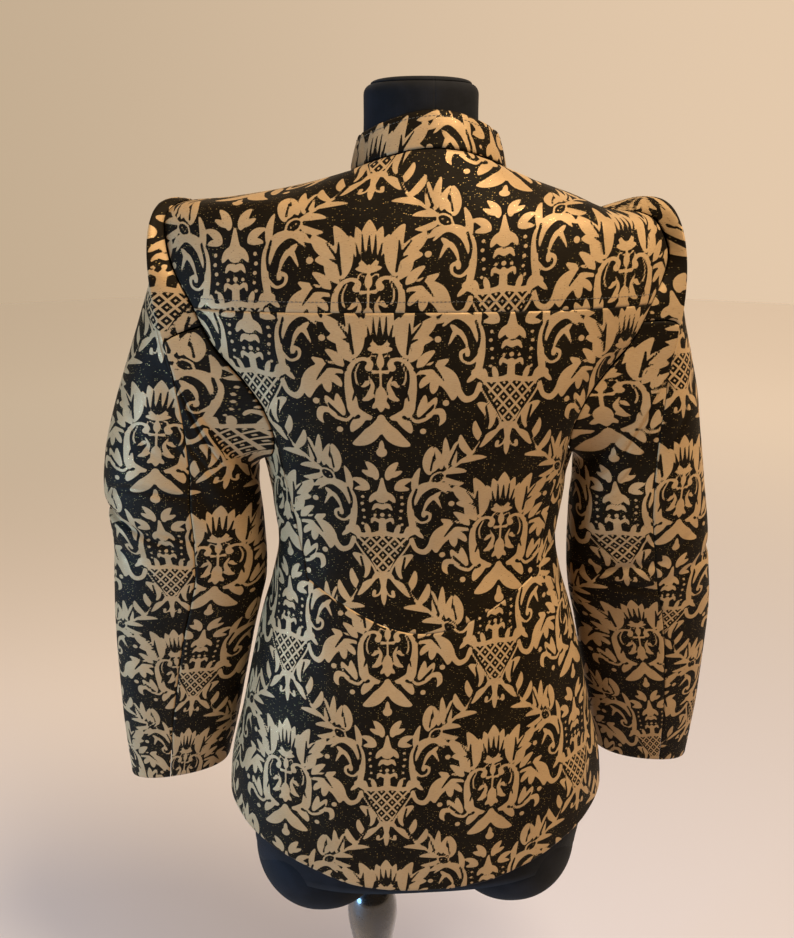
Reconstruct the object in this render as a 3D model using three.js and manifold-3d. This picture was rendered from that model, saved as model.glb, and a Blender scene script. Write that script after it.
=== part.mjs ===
// A fitted damask jacket, worn hollow on a limbless dress form that stands on a turned stem and a round base.
// Millimetres, +Z up. The jacket's front faces -Y and the wearer's left is +X. The origin is on the floor,
// at the centre of the base, under the stem.
//
// Every piece of cloth is a wall laid on one of two surfaces. The trunk surface is a stack of rings round
// the body, and the sleeve surface is a stack of sections from the armhole to the cuff. A pattern piece is
// the part of a surface inside four seam lines, so neighbouring pieces meet along the same seam.
import * as THREE from "three";
import { mergeVertices } from "three/addons/utils/BufferGeometryUtils.js";
import Module from "manifold-3d";

const wasm = await Module();
wasm.setup();

// ---- driving sizes -------------------------------------------------------------------------------------

const clothThickness = 1.6; // shell cloth with its turned edges
const seamGap = 0.36; // clear width left at every seam
const stemFromMiddle = 49; // the stem stands this far to the wearer's left of the form's middle
const yokeSeamLevel = 1125;
const neckLevel = 1250;
const neckShift = -7; // the neckline sits this far to the wearer's right
const armholeBottom = 978;
const armholeTop = 1210;
const backMeeting = 1030; // where the shaped seams run into the armhole
const frontMeeting = 1105;
const waistAtSide = 893;
const waistDropBack = 63; // the waist seam dips this far at the centre back
const waistDropFront = 30;
const hemBackLow = 560;
const hemFrontLow = 572;
const hemAtSide = 616;
const frontLap = 11; // the right front reaches this far past the middle, and the left front as far under it
const lapLift = 2.7;
const collarHeight = 29;
const buttonRadius = 9;

const rad = THREE.MathUtils.degToRad;
const mix = THREE.MathUtils.lerp;
const smooth = (x, low, high) => THREE.MathUtils.smoothstep(x, low, high);

// Rings of the trunk, from the hem to the neck. level is the height at the centre back, side and front the
// heights at the side and the centre front, half the half width, rear and fore the depths behind and before
// the middle, and square how boxy the ring is (2 is an ellipse). askew is how far the shoulders sit to the
// wearer's left, as the jacket does not hang quite straight.
const trunkRings = [
  { level: 520, side: 520, front: 520, half: 194, rear: 120, fore: 111, square: 2.35, askew: 0 },
  { level: 600, side: 600, front: 600, half: 200, rear: 121, fore: 113, square: 2.35, askew: 0 },
  { level: 640, side: 640, front: 640, half: 197, rear: 121, fore: 114, square: 2.35, askew: 0 },
  { level: 700, side: 700, front: 700, half: 183, rear: 117, fore: 112, square: 2.35, askew: 0 },
  { level: 765, side: 765, front: 765, half: 168.5, rear: 108, fore: 108, square: 2.35, askew: 0 },
  { level: 815, side: 815, front: 815, half: 156, rear: 98, fore: 101, square: 2.3, askew: 0 },
  { level: 850, side: 850, front: 850, half: 145, rear: 89, fore: 96, square: 2.3, askew: 0 },
  { level: 893, side: 893, front: 893, half: 137, rear: 80, fore: 91, square: 2.3, askew: 0 },
  { level: 935, side: 935, front: 935, half: 141, rear: 85, fore: 96, square: 2.3, askew: 0 },
  { level: 975, side: 975, front: 975, half: 147, rear: 93, fore: 103, square: 2.35, askew: 0 },
  { level: 1005, side: 1005, front: 1005, half: 156, rear: 98, fore: 110, square: 2.4, askew: 0 },
  { level: 1040, side: 1040, front: 1040, half: 175, rear: 102, fore: 116, square: 2.5, askew: 0 },
  { level: 1092, side: 1092, front: 1088, half: 211, rear: 104, fore: 112, square: 2.5, askew: 0 },
  { level: 1125, side: 1125, front: 1114, half: 225, rear: 104, fore: 103, square: 2.5, askew: 0 },
  { level: 1160, side: 1161, front: 1139, half: 228, rear: 99, fore: 91, square: 2.5, askew: 1 },
  { level: 1186, side: 1191, front: 1158, half: 219, rear: 92, fore: 81, square: 2.5, askew: 8 },
  { level: 1206, side: 1208, front: 1174, half: 187, rear: 84, fore: 73, square: 2.45, askew: 19 },
  { level: 1221, side: 1211, front: 1186, half: 160, rear: 77, fore: 67, square: 2.4, askew: 13 },
  { level: 1234, side: 1217, front: 1197, half: 128, rear: 70, fore: 62, square: 2.3, askew: 7 },
  { level: 1243, side: 1225, front: 1204, half: 96, rear: 65.5, fore: 59, square: 2.2, askew: 2 },
  { level: 1250, side: 1233, front: 1210, half: 68, rear: 62, fore: 57, square: 2.1, askew: 0 },
];

// Half width of the armhole in degrees of turn, behind and before the side line.
const armholeSpans = [
  { level: 978, behind: 41, before: 36 },
  { level: 1000, behind: 38, before: 34 },
  { level: 1035, behind: 31, before: 30 },
  { level: 1060, behind: 25, before: 27 },
  { level: 1092, behind: 20.4, before: 24 },
  { level: 1125, behind: 19.2, before: 21 },
  { level: 1160, behind: 15.9, before: 18 },
  { level: 1210, behind: 15, before: 16 },
];

// The shaped seams that run up the back and the front to the armhole, in degrees of turn from the side line.
const backSeam = [
  { level: 845, turn: 41 },
  { level: 858, turn: 34 },
  { level: 876, turn: 27.5 },
  { level: 912, turn: 24 },
  { level: 965, turn: 23.6 },
  { level: 1003, turn: 25.3 },
];
const frontSeam = [
  { level: 868, turn: 49 },
  { level: 920, turn: 50 },
  { level: 965, turn: 53 },
  { level: 1020, turn: 56 },
  { level: 1055, turn: 53 },
  { level: 1085, turn: 40 },
];

// The bust, two soft mounds on the front.
const bust = { turn: 57, level: 1052, rise: 19, turnSpread: 23, levelSpread: 50 };

// Soft troughs in the trunk's cloth, each along a line from one place to another, given as degrees behind
// the side line (before it, if negative) and a level. width and depth are in millimetres.
const trunkFolds = [
  { from: [25, 1075], to: [14, 965], width: 16, depth: 4.5 },
  { from: [30, 820], to: [24, 690], width: 21, depth: 3 },
  { from: [-28, 1080], to: [-14, 970], width: 16, depth: 4 },
  { from: [-34, 825], to: [-28, 690], width: 21, depth: 3 },
];

// Sections of each sleeve, from the armhole to the cuff. out and in are the section's outer and inner ends,
// each a distance from the middle and a height; depth is half its size from front to back, forward how far it
// swings to the front, bow how far its front and back stand out past the straight line from out to in, and
// seam the place of the back seam in degrees round the sleeve, where 0 is behind and 90 is outside.
const leftSleeve = [
  { out: [196, 1212], in: [150, 977], depth: 60, forward: -2, bow: 44, square: 2.2, seam: 8 },
  { out: [217, 1213], in: [151.5, 973], depth: 60, forward: -2, bow: 33.5, square: 2.5, seam: 5 },
  { out: [222, 1205], in: [152.5, 968], depth: 59, forward: -2, bow: 32, square: 2.8, seam: 2 },
  { out: [222.5, 1189], in: [153, 962], depth: 58, forward: -2, bow: 30.5, square: 2.9, seam: -2 },
  { out: [227.5, 1160], in: [153.5, 955], depth: 57, forward: -1, bow: 28, square: 2.8, seam: -6 },
  { out: [244, 1121], in: [153.5, 946], depth: 55, forward: 0, bow: 21, square: 2.6, seam: -9 },
  { out: [263.5, 1077], in: [152.5, 935], depth: 53, forward: 0, bow: 13, square: 2.4, seam: -10 },
  { out: [281, 1032], in: [151.5, 921], depth: 50, forward: 0, bow: 6, square: 2.3, seam: -10 },
  { out: [294.5, 985], in: [150.5, 903], depth: 48, forward: 0, bow: 3, square: 2.2, seam: -10 },
  { out: [300.5, 942], in: [150, 879], depth: 44, forward: 3, bow: 0, square: 2.2, seam: -9 },
  { out: [298.5, 895], in: [152, 850], depth: 42, forward: 7, bow: 0, square: 2.2, seam: -8 },
  { out: [303.5, 847], in: [158.5, 820], depth: 40, forward: 13, bow: 0, square: 2.2, seam: -6 },
  { out: [310, 795], in: [168, 783], depth: 38, forward: 23, bow: 0, square: 2.2, seam: -3 },
  { out: [316, 725], in: [181, 722], depth: 35, forward: 35, bow: 0, square: 2.2, seam: 1 },
  { out: [319.5, 652], in: [195, 660], depth: 32, forward: 46, bow: 0, square: 2.2, seam: 5 },
  { out: [320, 584], in: [210, 600], depth: 27, forward: 56, bow: 0, square: 2.2, seam: 8 },
];
const rightSleeve = [
  { out: [193, 1212], in: [150, 977], depth: 60, forward: -2, bow: 44, square: 2.2, seam: 8 },
  { out: [204, 1215], in: [151.5, 973], depth: 60, forward: -2, bow: 40, square: 2.6, seam: 8 },
  { out: [209, 1208], in: [152.5, 968], depth: 59, forward: -2, bow: 38, square: 2.9, seam: 7 },
  { out: [211, 1189], in: [153, 962], depth: 58, forward: -2, bow: 36, square: 3, seam: 6 },
  { out: [217, 1160], in: [153.5, 955], depth: 57, forward: -1, bow: 31.5, square: 2.9, seam: 4 },
  { out: [231.5, 1122], in: [153.5, 946], depth: 56, forward: 0, bow: 24.5, square: 2.6, seam: 2 },
  { out: [249, 1082], in: [153, 935], depth: 55, forward: 0, bow: 15, square: 2.4, seam: 1 },
  { out: [263.5, 1040], in: [152.5, 922], depth: 52, forward: 0, bow: 8, square: 2.3, seam: 1 },
  { out: [273, 994], in: [152.5, 903], depth: 51, forward: 0, bow: 3, square: 2.2, seam: 2 },
  { out: [284, 945], in: [153.5, 878], depth: 48, forward: 3, bow: 0, square: 2.2, seam: 3 },
  { out: [295, 898], in: [156, 850], depth: 45, forward: 7, bow: 0, square: 2.2, seam: 4 },
  { out: [304, 850], in: [161.5, 817], depth: 43, forward: 13, bow: 0, square: 2.2, seam: 6 },
  { out: [314.5, 797], in: [171, 783], depth: 41, forward: 23, bow: 0, square: 2.2, seam: 9 },
  { out: [320.5, 722], in: [186, 720], depth: 38, forward: 35, bow: 0, square: 2.2, seam: 12 },
  { out: [324, 650], in: [200, 660], depth: 35, forward: 46, bow: 0, square: 2.2, seam: 14 },
  { out: [324, 583], in: [215, 599], depth: 29, forward: 56, bow: 0, square: 2.2, seam: 16 },
];

// Soft troughs in the sleeves, at the elbow and below the armhole. Each runs from one place to another, given
// as degrees round the sleeve (0 is behind and 90 outside) and a section number.
const leftSleeveFolds = [
  { from: [104, 9.15], to: [12, 9.45], width: 7, depth: 4.5 },
  { from: [60, 10.1], to: [-20, 9.8], width: 9, depth: 2.5 },
  { from: [150, 9.5], to: [230, 9.2], width: 9, depth: 4 },
  { from: [-6, 6.2], to: [-30, 8.2], width: 12, depth: 3 },
];
const rightSleeveFolds = [
  { from: [-70, 9.8], to: [6, 10.25], width: 8, depth: 4.5 },
  { from: [6, 10.9], to: [84, 10.5], width: 9, depth: 2.5 },
  { from: [150, 10], to: [230, 9.7], width: 9, depth: 4 },
  { from: [-6, 6.2], to: [-30, 8.2], width: 12, depth: 3 },
];
const frontSleeveSeam = 202; // degrees round the sleeve

// Rings of the form inside the jacket: ease is the room between it and the cloth's inner face.
const formEase = [
  { level: 560, ease: 15 },
  { level: 640, ease: 10 },
  { level: 765, ease: 6 },
  { level: 893, ease: 5 },
  { level: 1005, ease: 8 },
  { level: 1125, ease: 7 },
  { level: 1186, ease: 5 },
  { level: 1221, ease: 4.5 },
  { level: 1250, ease: 4 },
];
const formShoulderHalf = 172; // the form has no arms, so its shoulders end here
const neckTop = { height: 1302, half: 49, rear: 48, fore: 43, edge: 8 };
const shoulderDip = { across: 165, width: 22, depth: 7, from: 1180, full: 1206 }; // on the wearer's right only
const lobe = { apart: 101, half: 75, depth: 88, bottom: 476, top: 590, roundness: 62 };

// ---- smooth tables -------------------------------------------------------------------------------------

// Reads a table of rows as smooth curves over one column, with no overshoot between rows.
function curves(rows, key) {
  const at = rows.map((row) => row[key]);
  const columns = Object.keys(rows[0]).filter((name) => name !== key);
  const slopes = {};
  for (const name of columns) {
    const rise = at.slice(1).map((x, i) => (rows[i + 1][name] - rows[i][name]) / (x - at[i]));
    slopes[name] = at.map((x, i) => {
      if (i === 0) return rise[0];
      if (i === at.length - 1) return rise[i - 1];
      const product = rise[i - 1] * rise[i];
      return product <= 0 ? 0 : (2 * product) / (rise[i - 1] + rise[i]);
    });
  }
  return (x) => {
    let i = 0;
    while (i < at.length - 2 && x > at[i + 1]) i++;
    const step = at[i + 1] - at[i];
    const u = Math.min(Math.max((x - at[i]) / step, -0.5), 1.5);
    const row = {};
    for (const name of columns) {
      const [a, b] = [rows[i][name], rows[i + 1][name]];
      const [m, n] = [slopes[name][i] * step, slopes[name][i + 1] * step];
      row[name] =
        a * (2 * u ** 3 - 3 * u ** 2 + 1) + m * (u ** 3 - 2 * u ** 2 + u) +
        b * (3 * u ** 2 - 2 * u ** 3) + n * (u ** 3 - u ** 2);
    }
    return row;
  };
}

// How deep a trough is at a place: full along its line, and fading to nothing across and past its ends.
function troughs(folds, place, scale) {
  let depth = 0;
  for (const fold of folds) {
    const [ax, ay] = [fold.from[0] * scale[0], fold.from[1] * scale[1]];
    const [dx, dy] = [fold.to[0] * scale[0] - ax, fold.to[1] * scale[1] - ay];
    const [px, py] = [place[0] * scale[0] - ax, place[1] * scale[1] - ay];
    const along = Math.min(Math.max((px * dx + py * dy) / (dx * dx + dy * dy), 0), 1);
    const away = Math.hypot(px - along * dx, py - along * dy) / fold.width;
    depth += fold.depth * Math.exp(-away * away) * (0.35 + 0.65 * Math.sin(Math.PI * (0.15 + 0.7 * along)));
  }
  return depth;
}

// ---- the trunk surface ---------------------------------------------------------------------------------

const ringAt = curves(trunkRings, "level");
const spanAt = curves(armholeSpans, "level");

// A point of the trunk's outer face. turn is in degrees round the body: 0 at the wearer's left side, 90 at
// the centre back, 180 at the right side and -90 at the centre front. mirrored is for a piece that is turned
// into its mirror image afterwards, so that the neck and shoulders still shift to the same side.
function trunkPoint(turn, level, mirrored = false) {
  const ring = ringAt(level);
  const [c, s] = [Math.cos(rad(turn)), Math.sin(rad(turn))];
  const depth = s >= 0 ? ring.rear : ring.fore;
  let reach = ((Math.abs(c) / ring.half) ** ring.square + (Math.abs(s) / depth) ** ring.square) ** (-1 / ring.square);
  const fromSide = Math.asin(Math.min(Math.max(s, -1), 1)) * THREE.MathUtils.RAD2DEG;
  if (s < 0) {
    const up = (level - bust.level) / bust.levelSpread;
    for (const across of [fromSide + bust.turn, -180 - fromSide + bust.turn])
      reach += bust.rise * Math.exp(-((across / bust.turnSpread) ** 2) - up * up);
  }
  reach -= troughs(trunkFolds, [fromSide, level], [2.4, 1]);
  let height = ring.side + ((s >= 0 ? level : ring.front) - ring.side) * s * s;
  const shift = neckShift * smooth(level, armholeTop + 2, neckLevel) + ring.askew * c * c;
  const across = reach * c + (mirrored ? -shift : shift);
  if (mirrored ? c > 0 : c < 0) {
    const away = (Math.abs(across) - shoulderDip.across) / shoulderDip.width;
    height -= shoulderDip.depth * smooth(level, shoulderDip.from, shoulderDip.full) * Math.exp(-away * away);
  }
  return new THREE.Vector3(across, reach * s, height);
}

// The armhole's line at an angle round it: 90 is the shoulder, 0 behind, -90 underneath and 180 in front.
function armholePlace(angle) {
  const [middle, half] = [(armholeTop + armholeBottom) / 2, (armholeTop - armholeBottom) / 2];
  const level = middle + half * Math.sin(rad(angle));
  const span = spanAt(level);
  const across = Math.cos(rad(angle));
  return [(across >= 0 ? span.behind : span.before) * across, level];
}

// The angle round the armhole where it reaches a level, behind or in front.
function armholeAngle(level, behind) {
  const [middle, half] = [(armholeTop + armholeBottom) / 2, (armholeTop - armholeBottom) / 2];
  const up = THREE.MathUtils.RAD2DEG * Math.asin(Math.min(Math.max((level - middle) / half, -1), 1));
  return behind ? up : 180 - up;
}

// The shaped seams, each ended where it meets the armhole.
const seamTo = (rows, level, behind) =>
  curves([...rows, { level, turn: Math.abs(armholePlace(armholeAngle(level, behind))[0]) }], "level");
const backSeamAt = seamTo(backSeam, backMeeting, true);
const frontSeamAt = seamTo(frontSeam, frontMeeting, false);

// Neighbours share corners along the armhole, at these angles, so that their straight edges lie together.
const armholeStep = 15;
function armholeStops(from, to) {
  const stops = [from];
  for (let angle = -360; angle <= 720; angle += armholeStep)
    if (angle > from + 3 && angle < to - 3) stops.push(angle);
  return [...stops, to];
}
const shares = (stops) => stops.map((x) => (x - stops[0]) / (stops.at(-1) - stops[0]));

const waistAt = (turn) => {
  const s = Math.sin(rad(turn));
  return waistAtSide - (s >= 0 ? waistDropBack : waistDropFront) * Math.abs(s) ** 1.53;
};
const hemAt = (turn) => {
  const low = Math.sin(rad(turn)) >= 0 ? hemBackLow : hemFrontLow;
  return mix(low, hemAtSide, Math.abs(Math.cos(rad(turn))) ** 3.2);
};

// The turn of a front edge that runs straight up at a distance from the middle, on the wearer's left.
const frontEdgeTurn = (level, distance) => -90 + Math.atan2(distance, ringAt(level).fore) * THREE.MathUtils.RAD2DEG;

// ---- the sleeve surface --------------------------------------------------------------------------------

const flatSections = (sections) => sections.map((row, number) => ({
  number, outX: row.out[0], outZ: row.out[1], inX: row.in[0], inZ: row.in[1],
  depth: row.depth, forward: row.forward, bow: row.bow, square: row.square, seam: row.seam,
}));
const sleeves = {
  L: { at: curves(flatSections(leftSleeve), "number"), folds: leftSleeveFolds, mirrored: false },
  R: { at: curves(flatSections(rightSleeve), "number"), folds: rightSleeveFolds, mirrored: true },
};
const lastSection = leftSleeve.length - 1;
const armholeBlend = 1.6; // sections over which the sleeve leaves the armhole's line for its own sections
const sleeveClear = 1.5; // millimetres by which the sleeve's cloth stops short of the armhole's line

// A point of a sleeve's outer face, on the wearer's left. The right sleeve is turned into its mirror image.
function sleevePoint(sleeve, angle, number) {
  const row = sleeve.at(number);
  const [c, s] = [Math.cos(rad(angle)), Math.sin(rad(angle))];
  const round = (Math.abs(c) ** row.square + Math.abs(s) ** row.square) ** (-1 / row.square);
  const [c1, s1] = [c * round, s * round];
  const sink = troughs(sleeve.folds, [angle > 270 ? angle - 360 : angle, number], [1, 55]);
  const shrink = 1 - sink / 55;
  const point = new THREE.Vector3(
    (row.outX + row.inX) / 2 + (shrink * s1 * (row.outX - row.inX)) / 2 + row.bow * c * c,
    shrink * row.depth * c1 - row.forward,
    (row.outZ + row.inZ) / 2 + (shrink * s1 * (row.outZ - row.inZ)) / 2,
  );
  if (number >= armholeBlend) return point;
  return trunkPoint(...armholePlace(angle), sleeve.mirrored).lerp(point, number / armholeBlend);
}

// ---- making walls --------------------------------------------------------------------------------------

// A closed wall from patches of outer points: each patch gives a point for a share across and a share up, and
// the inner face lies one thickness behind. Patches that share an edge become one piece of cloth.
function wall(patches, mirror = false, thickness = clothThickness) {
  const step = 1e-3;
  const known = new Map();
  const [outer, inner, faces] = [[], [], []];
  for (const { pointAt, columns, rows } of patches) {
    const numbers = rows.map((t) => columns.map((s) => {
      const point = pointAt(s, t);
      const key = point.toArray().map((x) => Math.round(x * 50)).join();
      if (!known.has(key)) {
        const [s0, s1] = [Math.max(s - step, 0), Math.min(s + step, 1)];
        const [t0, t1] = [Math.max(t - step, 0), Math.min(t + step, 1)];
        const sideways = pointAt(s1, t).sub(pointAt(s0, t));
        const upward = pointAt(s, t1).sub(pointAt(s, t0));
        const outward = sideways.cross(upward).normalize();
        known.set(key, outer.push(point) - 1);
        inner.push(point.clone().addScaledVector(outward, -thickness));
      }
      return known.get(key);
    }));
    for (let j = 0; j < rows.length - 1; j++)
      for (let i = 0; i < columns.length - 1; i++) {
        const [a, b, c, d] = [numbers[j][i], numbers[j][i + 1], numbers[j + 1][i + 1], numbers[j + 1][i]];
        if (a !== b && b !== c) faces.push([a, b, c]);
        if (c !== d && a !== d) faces.push([a, c, d]);
      }
  }
  const back = outer.length;
  const edges = new Set(faces.flatMap(([a, b, c]) => [`${a} ${b}`, `${b} ${c}`, `${c} ${a}`]));
  const index = faces.flatMap(([a, b, c]) => [a, b, c, back + a, back + c, back + b]);
  for (const edge of edges) {
    const [a, b] = edge.split(" ").map(Number);
    if (!edges.has(`${b} ${a}`)) index.push(b, a, back + a, b, back + a, back + b);
  }
  const points = [...outer, ...inner];
  if (mirror) {
    points.forEach((p) => (p.x = -p.x));
    for (let k = 0; k < index.length; k += 3) [index[k + 1], index[k + 2]] = [index[k + 2], index[k + 1]];
  }
  return geometryFrom(points, index);
}

function geometryFrom(points, index) {
  const geometry = new THREE.BufferGeometry();
  geometry.setAttribute("position", new THREE.Float32BufferAttribute(points.flatMap((p) => p.toArray()), 3));
  geometry.setIndex(index);
  return geometry;
}

const evenly = (count) => Array.from({ length: count + 1 }, (_, i) => i / count);

// The place inside four seam lines: each line is a function of a share of its length, and the inside is
// their usual blend.
function between(bottom, top, left, right) {
  const corners = [bottom(0), bottom(1), top(0), top(1)];
  return (s, t) => {
    const [b, u, l, r] = [bottom(s), top(s), left(t), right(t)];
    return [0, 1].map((k) =>
      mix(b[k], u[k], t) + mix(l[k], r[k], s) -
      mix(mix(corners[0][k], corners[1][k], s), mix(corners[2][k], corners[3][k], s), t));
  };
}

// Draws a patch's edges in by half a seam gap, so that neighbours stay apart. open says how much of that an
// edge takes, as a share that may change along it: none where the patch goes on into another one.
function drawnIn(placeAt, sizeAcross, sizeUp, open = {}, lift = () => 0, mirrored = false) {
  const [a, b] = [seamGap / 2 / sizeAcross, seamGap / 2 / sizeUp];
  const [left, right, bottom, top] = ["left", "right", "bottom", "top"].map((edge) => open[edge] ?? (() => 1));
  return (s, t) => {
    const [turn, level] = placeAt(mix(a * left(t), 1 - a * right(t), s), mix(b * bottom(s), 1 - b * top(s), t));
    const point = trunkPoint(turn, level, mirrored);
    point.y -= lift(point);
    return point;
  };
}

const materials = {
  damask: new THREE.MeshStandardMaterial({ color: 0x3a3122, roughness: 0.5, metalness: 0.1 }),
  formCloth: new THREE.MeshStandardMaterial({ color: 0x0b0b0c, roughness: 0.9, metalness: 0 }),
  stainedWood: new THREE.MeshStandardMaterial({ color: 0x14100e, roughness: 0.35, metalness: 0 }),
  button: new THREE.MeshStandardMaterial({ color: 0x0d0d0d, roughness: 0.3, metalness: 0 }),
};

const jacket = new THREE.Group();
const form = new THREE.Group();

function add(group, name, geometry, material) {
  const mesh = new THREE.Mesh(geometry, material);
  mesh.name = name;
  group.add(mesh);
  return mesh;
}

// ---- trunk pieces --------------------------------------------------------------------------------------

const alongArmhole = (from, to) => (share) => armholePlace(mix(from, to, share));
const levelLine = (level, from, to) => (share) => [mix(from, to, share), level];
const armholeClear = 0.4; // degrees of turn by which the body's cloth stops short of the armhole's line

// The turn of the armhole's edge at a level, or the shoulder seam's above the armhole.
function openingTurn(level, behind) {
  if (level >= armholeTop) return 0;
  return armholePlace(armholeAngle(level, behind))[0] + (behind ? armholeClear : -armholeClear);
}

// The rows of a piece between two levels, with rows at the armhole's shared corners.
function rowsThrough(levels, from, to) {
  return levels.map((level) => (level - from) / (to - from));
}

// Levels of the armhole's shared corners from one level up to the shoulder.
function armholeLevels(from, behind) {
  const low = armholeAngle(from, behind);
  const stops = behind ? armholeStops(low, 90) : armholeStops(90, low).reverse();
  return stops.map((angle) => armholePlace(angle)[1]);
}
const shoulderLevels = [1222, 1237, neckLevel];

// The level at which a shaped seam reaches the waist seam.
function footOfSeam(seamAt, way) {
  let level = waistAtSide;
  for (let k = 0; k < 30; k++) level = (level + waistAt(way * seamAt(level).turn)) / 2;
  return level;
}

const backFoot = footOfSeam(backSeamAt, 1);
const frontFoot = footOfSeam(frontSeamAt, -1);
const backColumns = 12;
const frontColumns = 8;
const sideBackRows = 7;
const skirtRows = 8;
const sideFrontRows = 9;
const sideBackColumns = shares(armholeStops(-90, armholeAngle(backMeeting, true)));
const sideFrontColumns = shares(armholeStops(armholeAngle(frontMeeting, false), 270));

function makeYoke() {
  const edge = (onRight) => (t) => {
    const level = mix(yokeSeamLevel, neckLevel, t);
    const turn = openingTurn(level, true);
    return [onRight ? 180 - turn : turn, level];
  };
  const [left, right] = [edge(false), edge(true)];
  const foot = levelLine(yokeSeamLevel, left(0)[0], right(0)[0]);
  const place = between(foot, levelLine(neckLevel, 0, 180), left, right);
  const levels = [...armholeLevels(yokeSeamLevel, true), ...shoulderLevels];
  const rows = rowsThrough(levels, yokeSeamLevel, neckLevel);
  add(jacket, "back_yoke", wall([{ pointAt: drawnIn(place, 420, 150), columns: evenly(18), rows }]),
    materials.damask);
}

// The panel between the yoke seam, the two shaped seams and the dipping waist seam.
function makeBack() {
  const edge = (onRight) => (t) => {
    const level = mix(backFoot, yokeSeamLevel, t);
    const turn = level <= backMeeting ? backSeamAt(level).turn : openingTurn(level, true);
    return [onRight ? 180 - turn : turn, level];
  };
  const [left, right] = [edge(false), edge(true)];
  const bottom = (s) => {
    const turn = mix(left(0)[0], right(0)[0], s);
    return [turn, waistAt(turn)];
  };
  const place = between(bottom, levelLine(yokeSeamLevel, left(1)[0], right(1)[0]), left, right);
  const low = armholeAngle(backMeeting, true);
  const beside = armholeStops(low, armholeAngle(yokeSeamLevel, true)).map((angle) => armholePlace(angle)[1]);
  const levels = [...evenly(sideBackRows).map((x) => mix(backFoot, backMeeting, x)), ...beside.slice(1)];
  const rows = rowsThrough(levels, backFoot, yokeSeamLevel);
  add(jacket, "back_body", wall([{ pointAt: drawnIn(place, 260, 270), columns: evenly(backColumns), rows }]),
    materials.damask);
}

// The back skirt goes on up beside the back panel to both armholes, in one piece: a lower part under each
// shaped seam, an upper part beside it, and the middle below the waist seam.
function makeBackSkirt() {
  const footTurn = backSeamAt(backFoot).turn;
  const never = () => 0;
  const patches = [];
  for (const onRight of [false, true]) {
    const turned = ([turn, level]) => [onRight ? 180 - turn : turn, level];
    const facing = (place) => (s, t) => turned(place(onRight ? 1 - s : s, t));
    const outsideFirst = onRight ? "right" : "left";
    const seamSide = onRight ? "left" : "right";
    const columns = onRight ? sideBackColumns.map((x) => 1 - x).reverse() : sideBackColumns;
    const lower = between(
      (s) => [footTurn * s, hemAt(footTurn * s)],
      (s) => [footTurn * s, backFoot],
      (t) => [0, mix(hemAt(0), backFoot, t)],
      (t) => [footTurn, mix(hemAt(footTurn), backFoot, t)],
    );
    const upper = between(
      (s) => [footTurn * s, backFoot],
      alongArmhole(-90, armholeAngle(backMeeting, true)),
      (t) => [0, mix(backFoot, armholeBottom, t)],
      (t) => [backSeamAt(mix(backFoot, backMeeting, t)).turn, mix(backFoot, backMeeting, t)],
    );
    patches.push(
      {
        pointAt: drawnIn(facing(lower), 70, 300, { [seamSide]: never, top: never }),
        columns,
        rows: evenly(skirtRows),
      },
      {
        pointAt: drawnIn(facing(upper), 70, 110,
          { bottom: never, [outsideFirst]: () => 1, [seamSide]: (t) => Math.min(t * 20, 1) }),
        columns,
        rows: evenly(sideBackRows),
      },
    );
  }
  const middle = between(
    (s) => [mix(footTurn, 180 - footTurn, s), hemAt(mix(footTurn, 180 - footTurn, s))],
    (s) => [mix(footTurn, 180 - footTurn, s), waistAt(mix(footTurn, 180 - footTurn, s))],
    (t) => [footTurn, mix(hemAt(footTurn), backFoot, t)],
    (t) => [180 - footTurn, mix(hemAt(footTurn), backFoot, t)],
  );
  patches.push({
    pointAt: drawnIn(middle, 300, 300,
      { left: never, right: never, top: (s) => Math.min(s * 20, (1 - s) * 20, 1) }),
    columns: evenly(backColumns),
    rows: evenly(skirtRows),
  });
  add(jacket, "back_skirt", wall(patches), materials.damask);
}

function makeSideFront(side) {
  const seam = (t) => {
    const level = mix(frontFoot, frontMeeting, t);
    return [-frontSeamAt(level).turn, level];
  };
  const sideLine = (t) => [0, mix(waistAtSide, armholeBottom, t)];
  const bottom = (s) => {
    const turn = mix(seam(0)[0], 0, s);
    return [turn, waistAt(turn)];
  };
  const top = alongArmhole(armholeAngle(frontMeeting, false), 270);
  const place = between(bottom, top, seam, sideLine);
  const patch = { pointAt: drawnIn(place, 100, 150), columns: sideFrontColumns, rows: evenly(sideFrontRows) };
  add(jacket, "side_front_" + side, wall([patch], side === "R"), materials.damask);
}

// The right front and right front skirt are raised where they lap over the left.
const lapRaise = (side) => (point) =>
  side === "R" ? lapLift * (1 - smooth(point.x, frontLap + 10, frontLap + 26)) : 0;

function makeFront(side) {
  const edge = (t) => {
    const level = mix(waistAt(-90), neckLevel, t);
    return [frontEdgeTurn(level, -frontLap), level];
  };
  const outside = (t) => {
    const level = mix(frontFoot, neckLevel, t);
    return [level <= frontMeeting ? -frontSeamAt(level).turn : openingTurn(level, false), level];
  };
  const bottom = (s) => {
    const turn = mix(edge(0)[0], outside(0)[0], s);
    return [turn, waistAt(turn)];
  };
  const place = between(bottom, levelLine(neckLevel, edge(1)[0], 0), edge, outside);
  const low = armholeLevels(frontMeeting, false);
  const levels = [
    ...evenly(sideFrontRows).map((x) => mix(frontFoot, frontMeeting, x)), ...low.slice(1), ...shoulderLevels,
  ];
  const rows = rowsThrough(levels, frontFoot, neckLevel);
  const pointAt = drawnIn(place, 120, 340, {}, lapRaise(side), side === "R");
  add(jacket, "front_" + side, wall([{ pointAt, columns: evenly(frontColumns), rows }], side === "R"),
    materials.damask);
}

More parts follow.
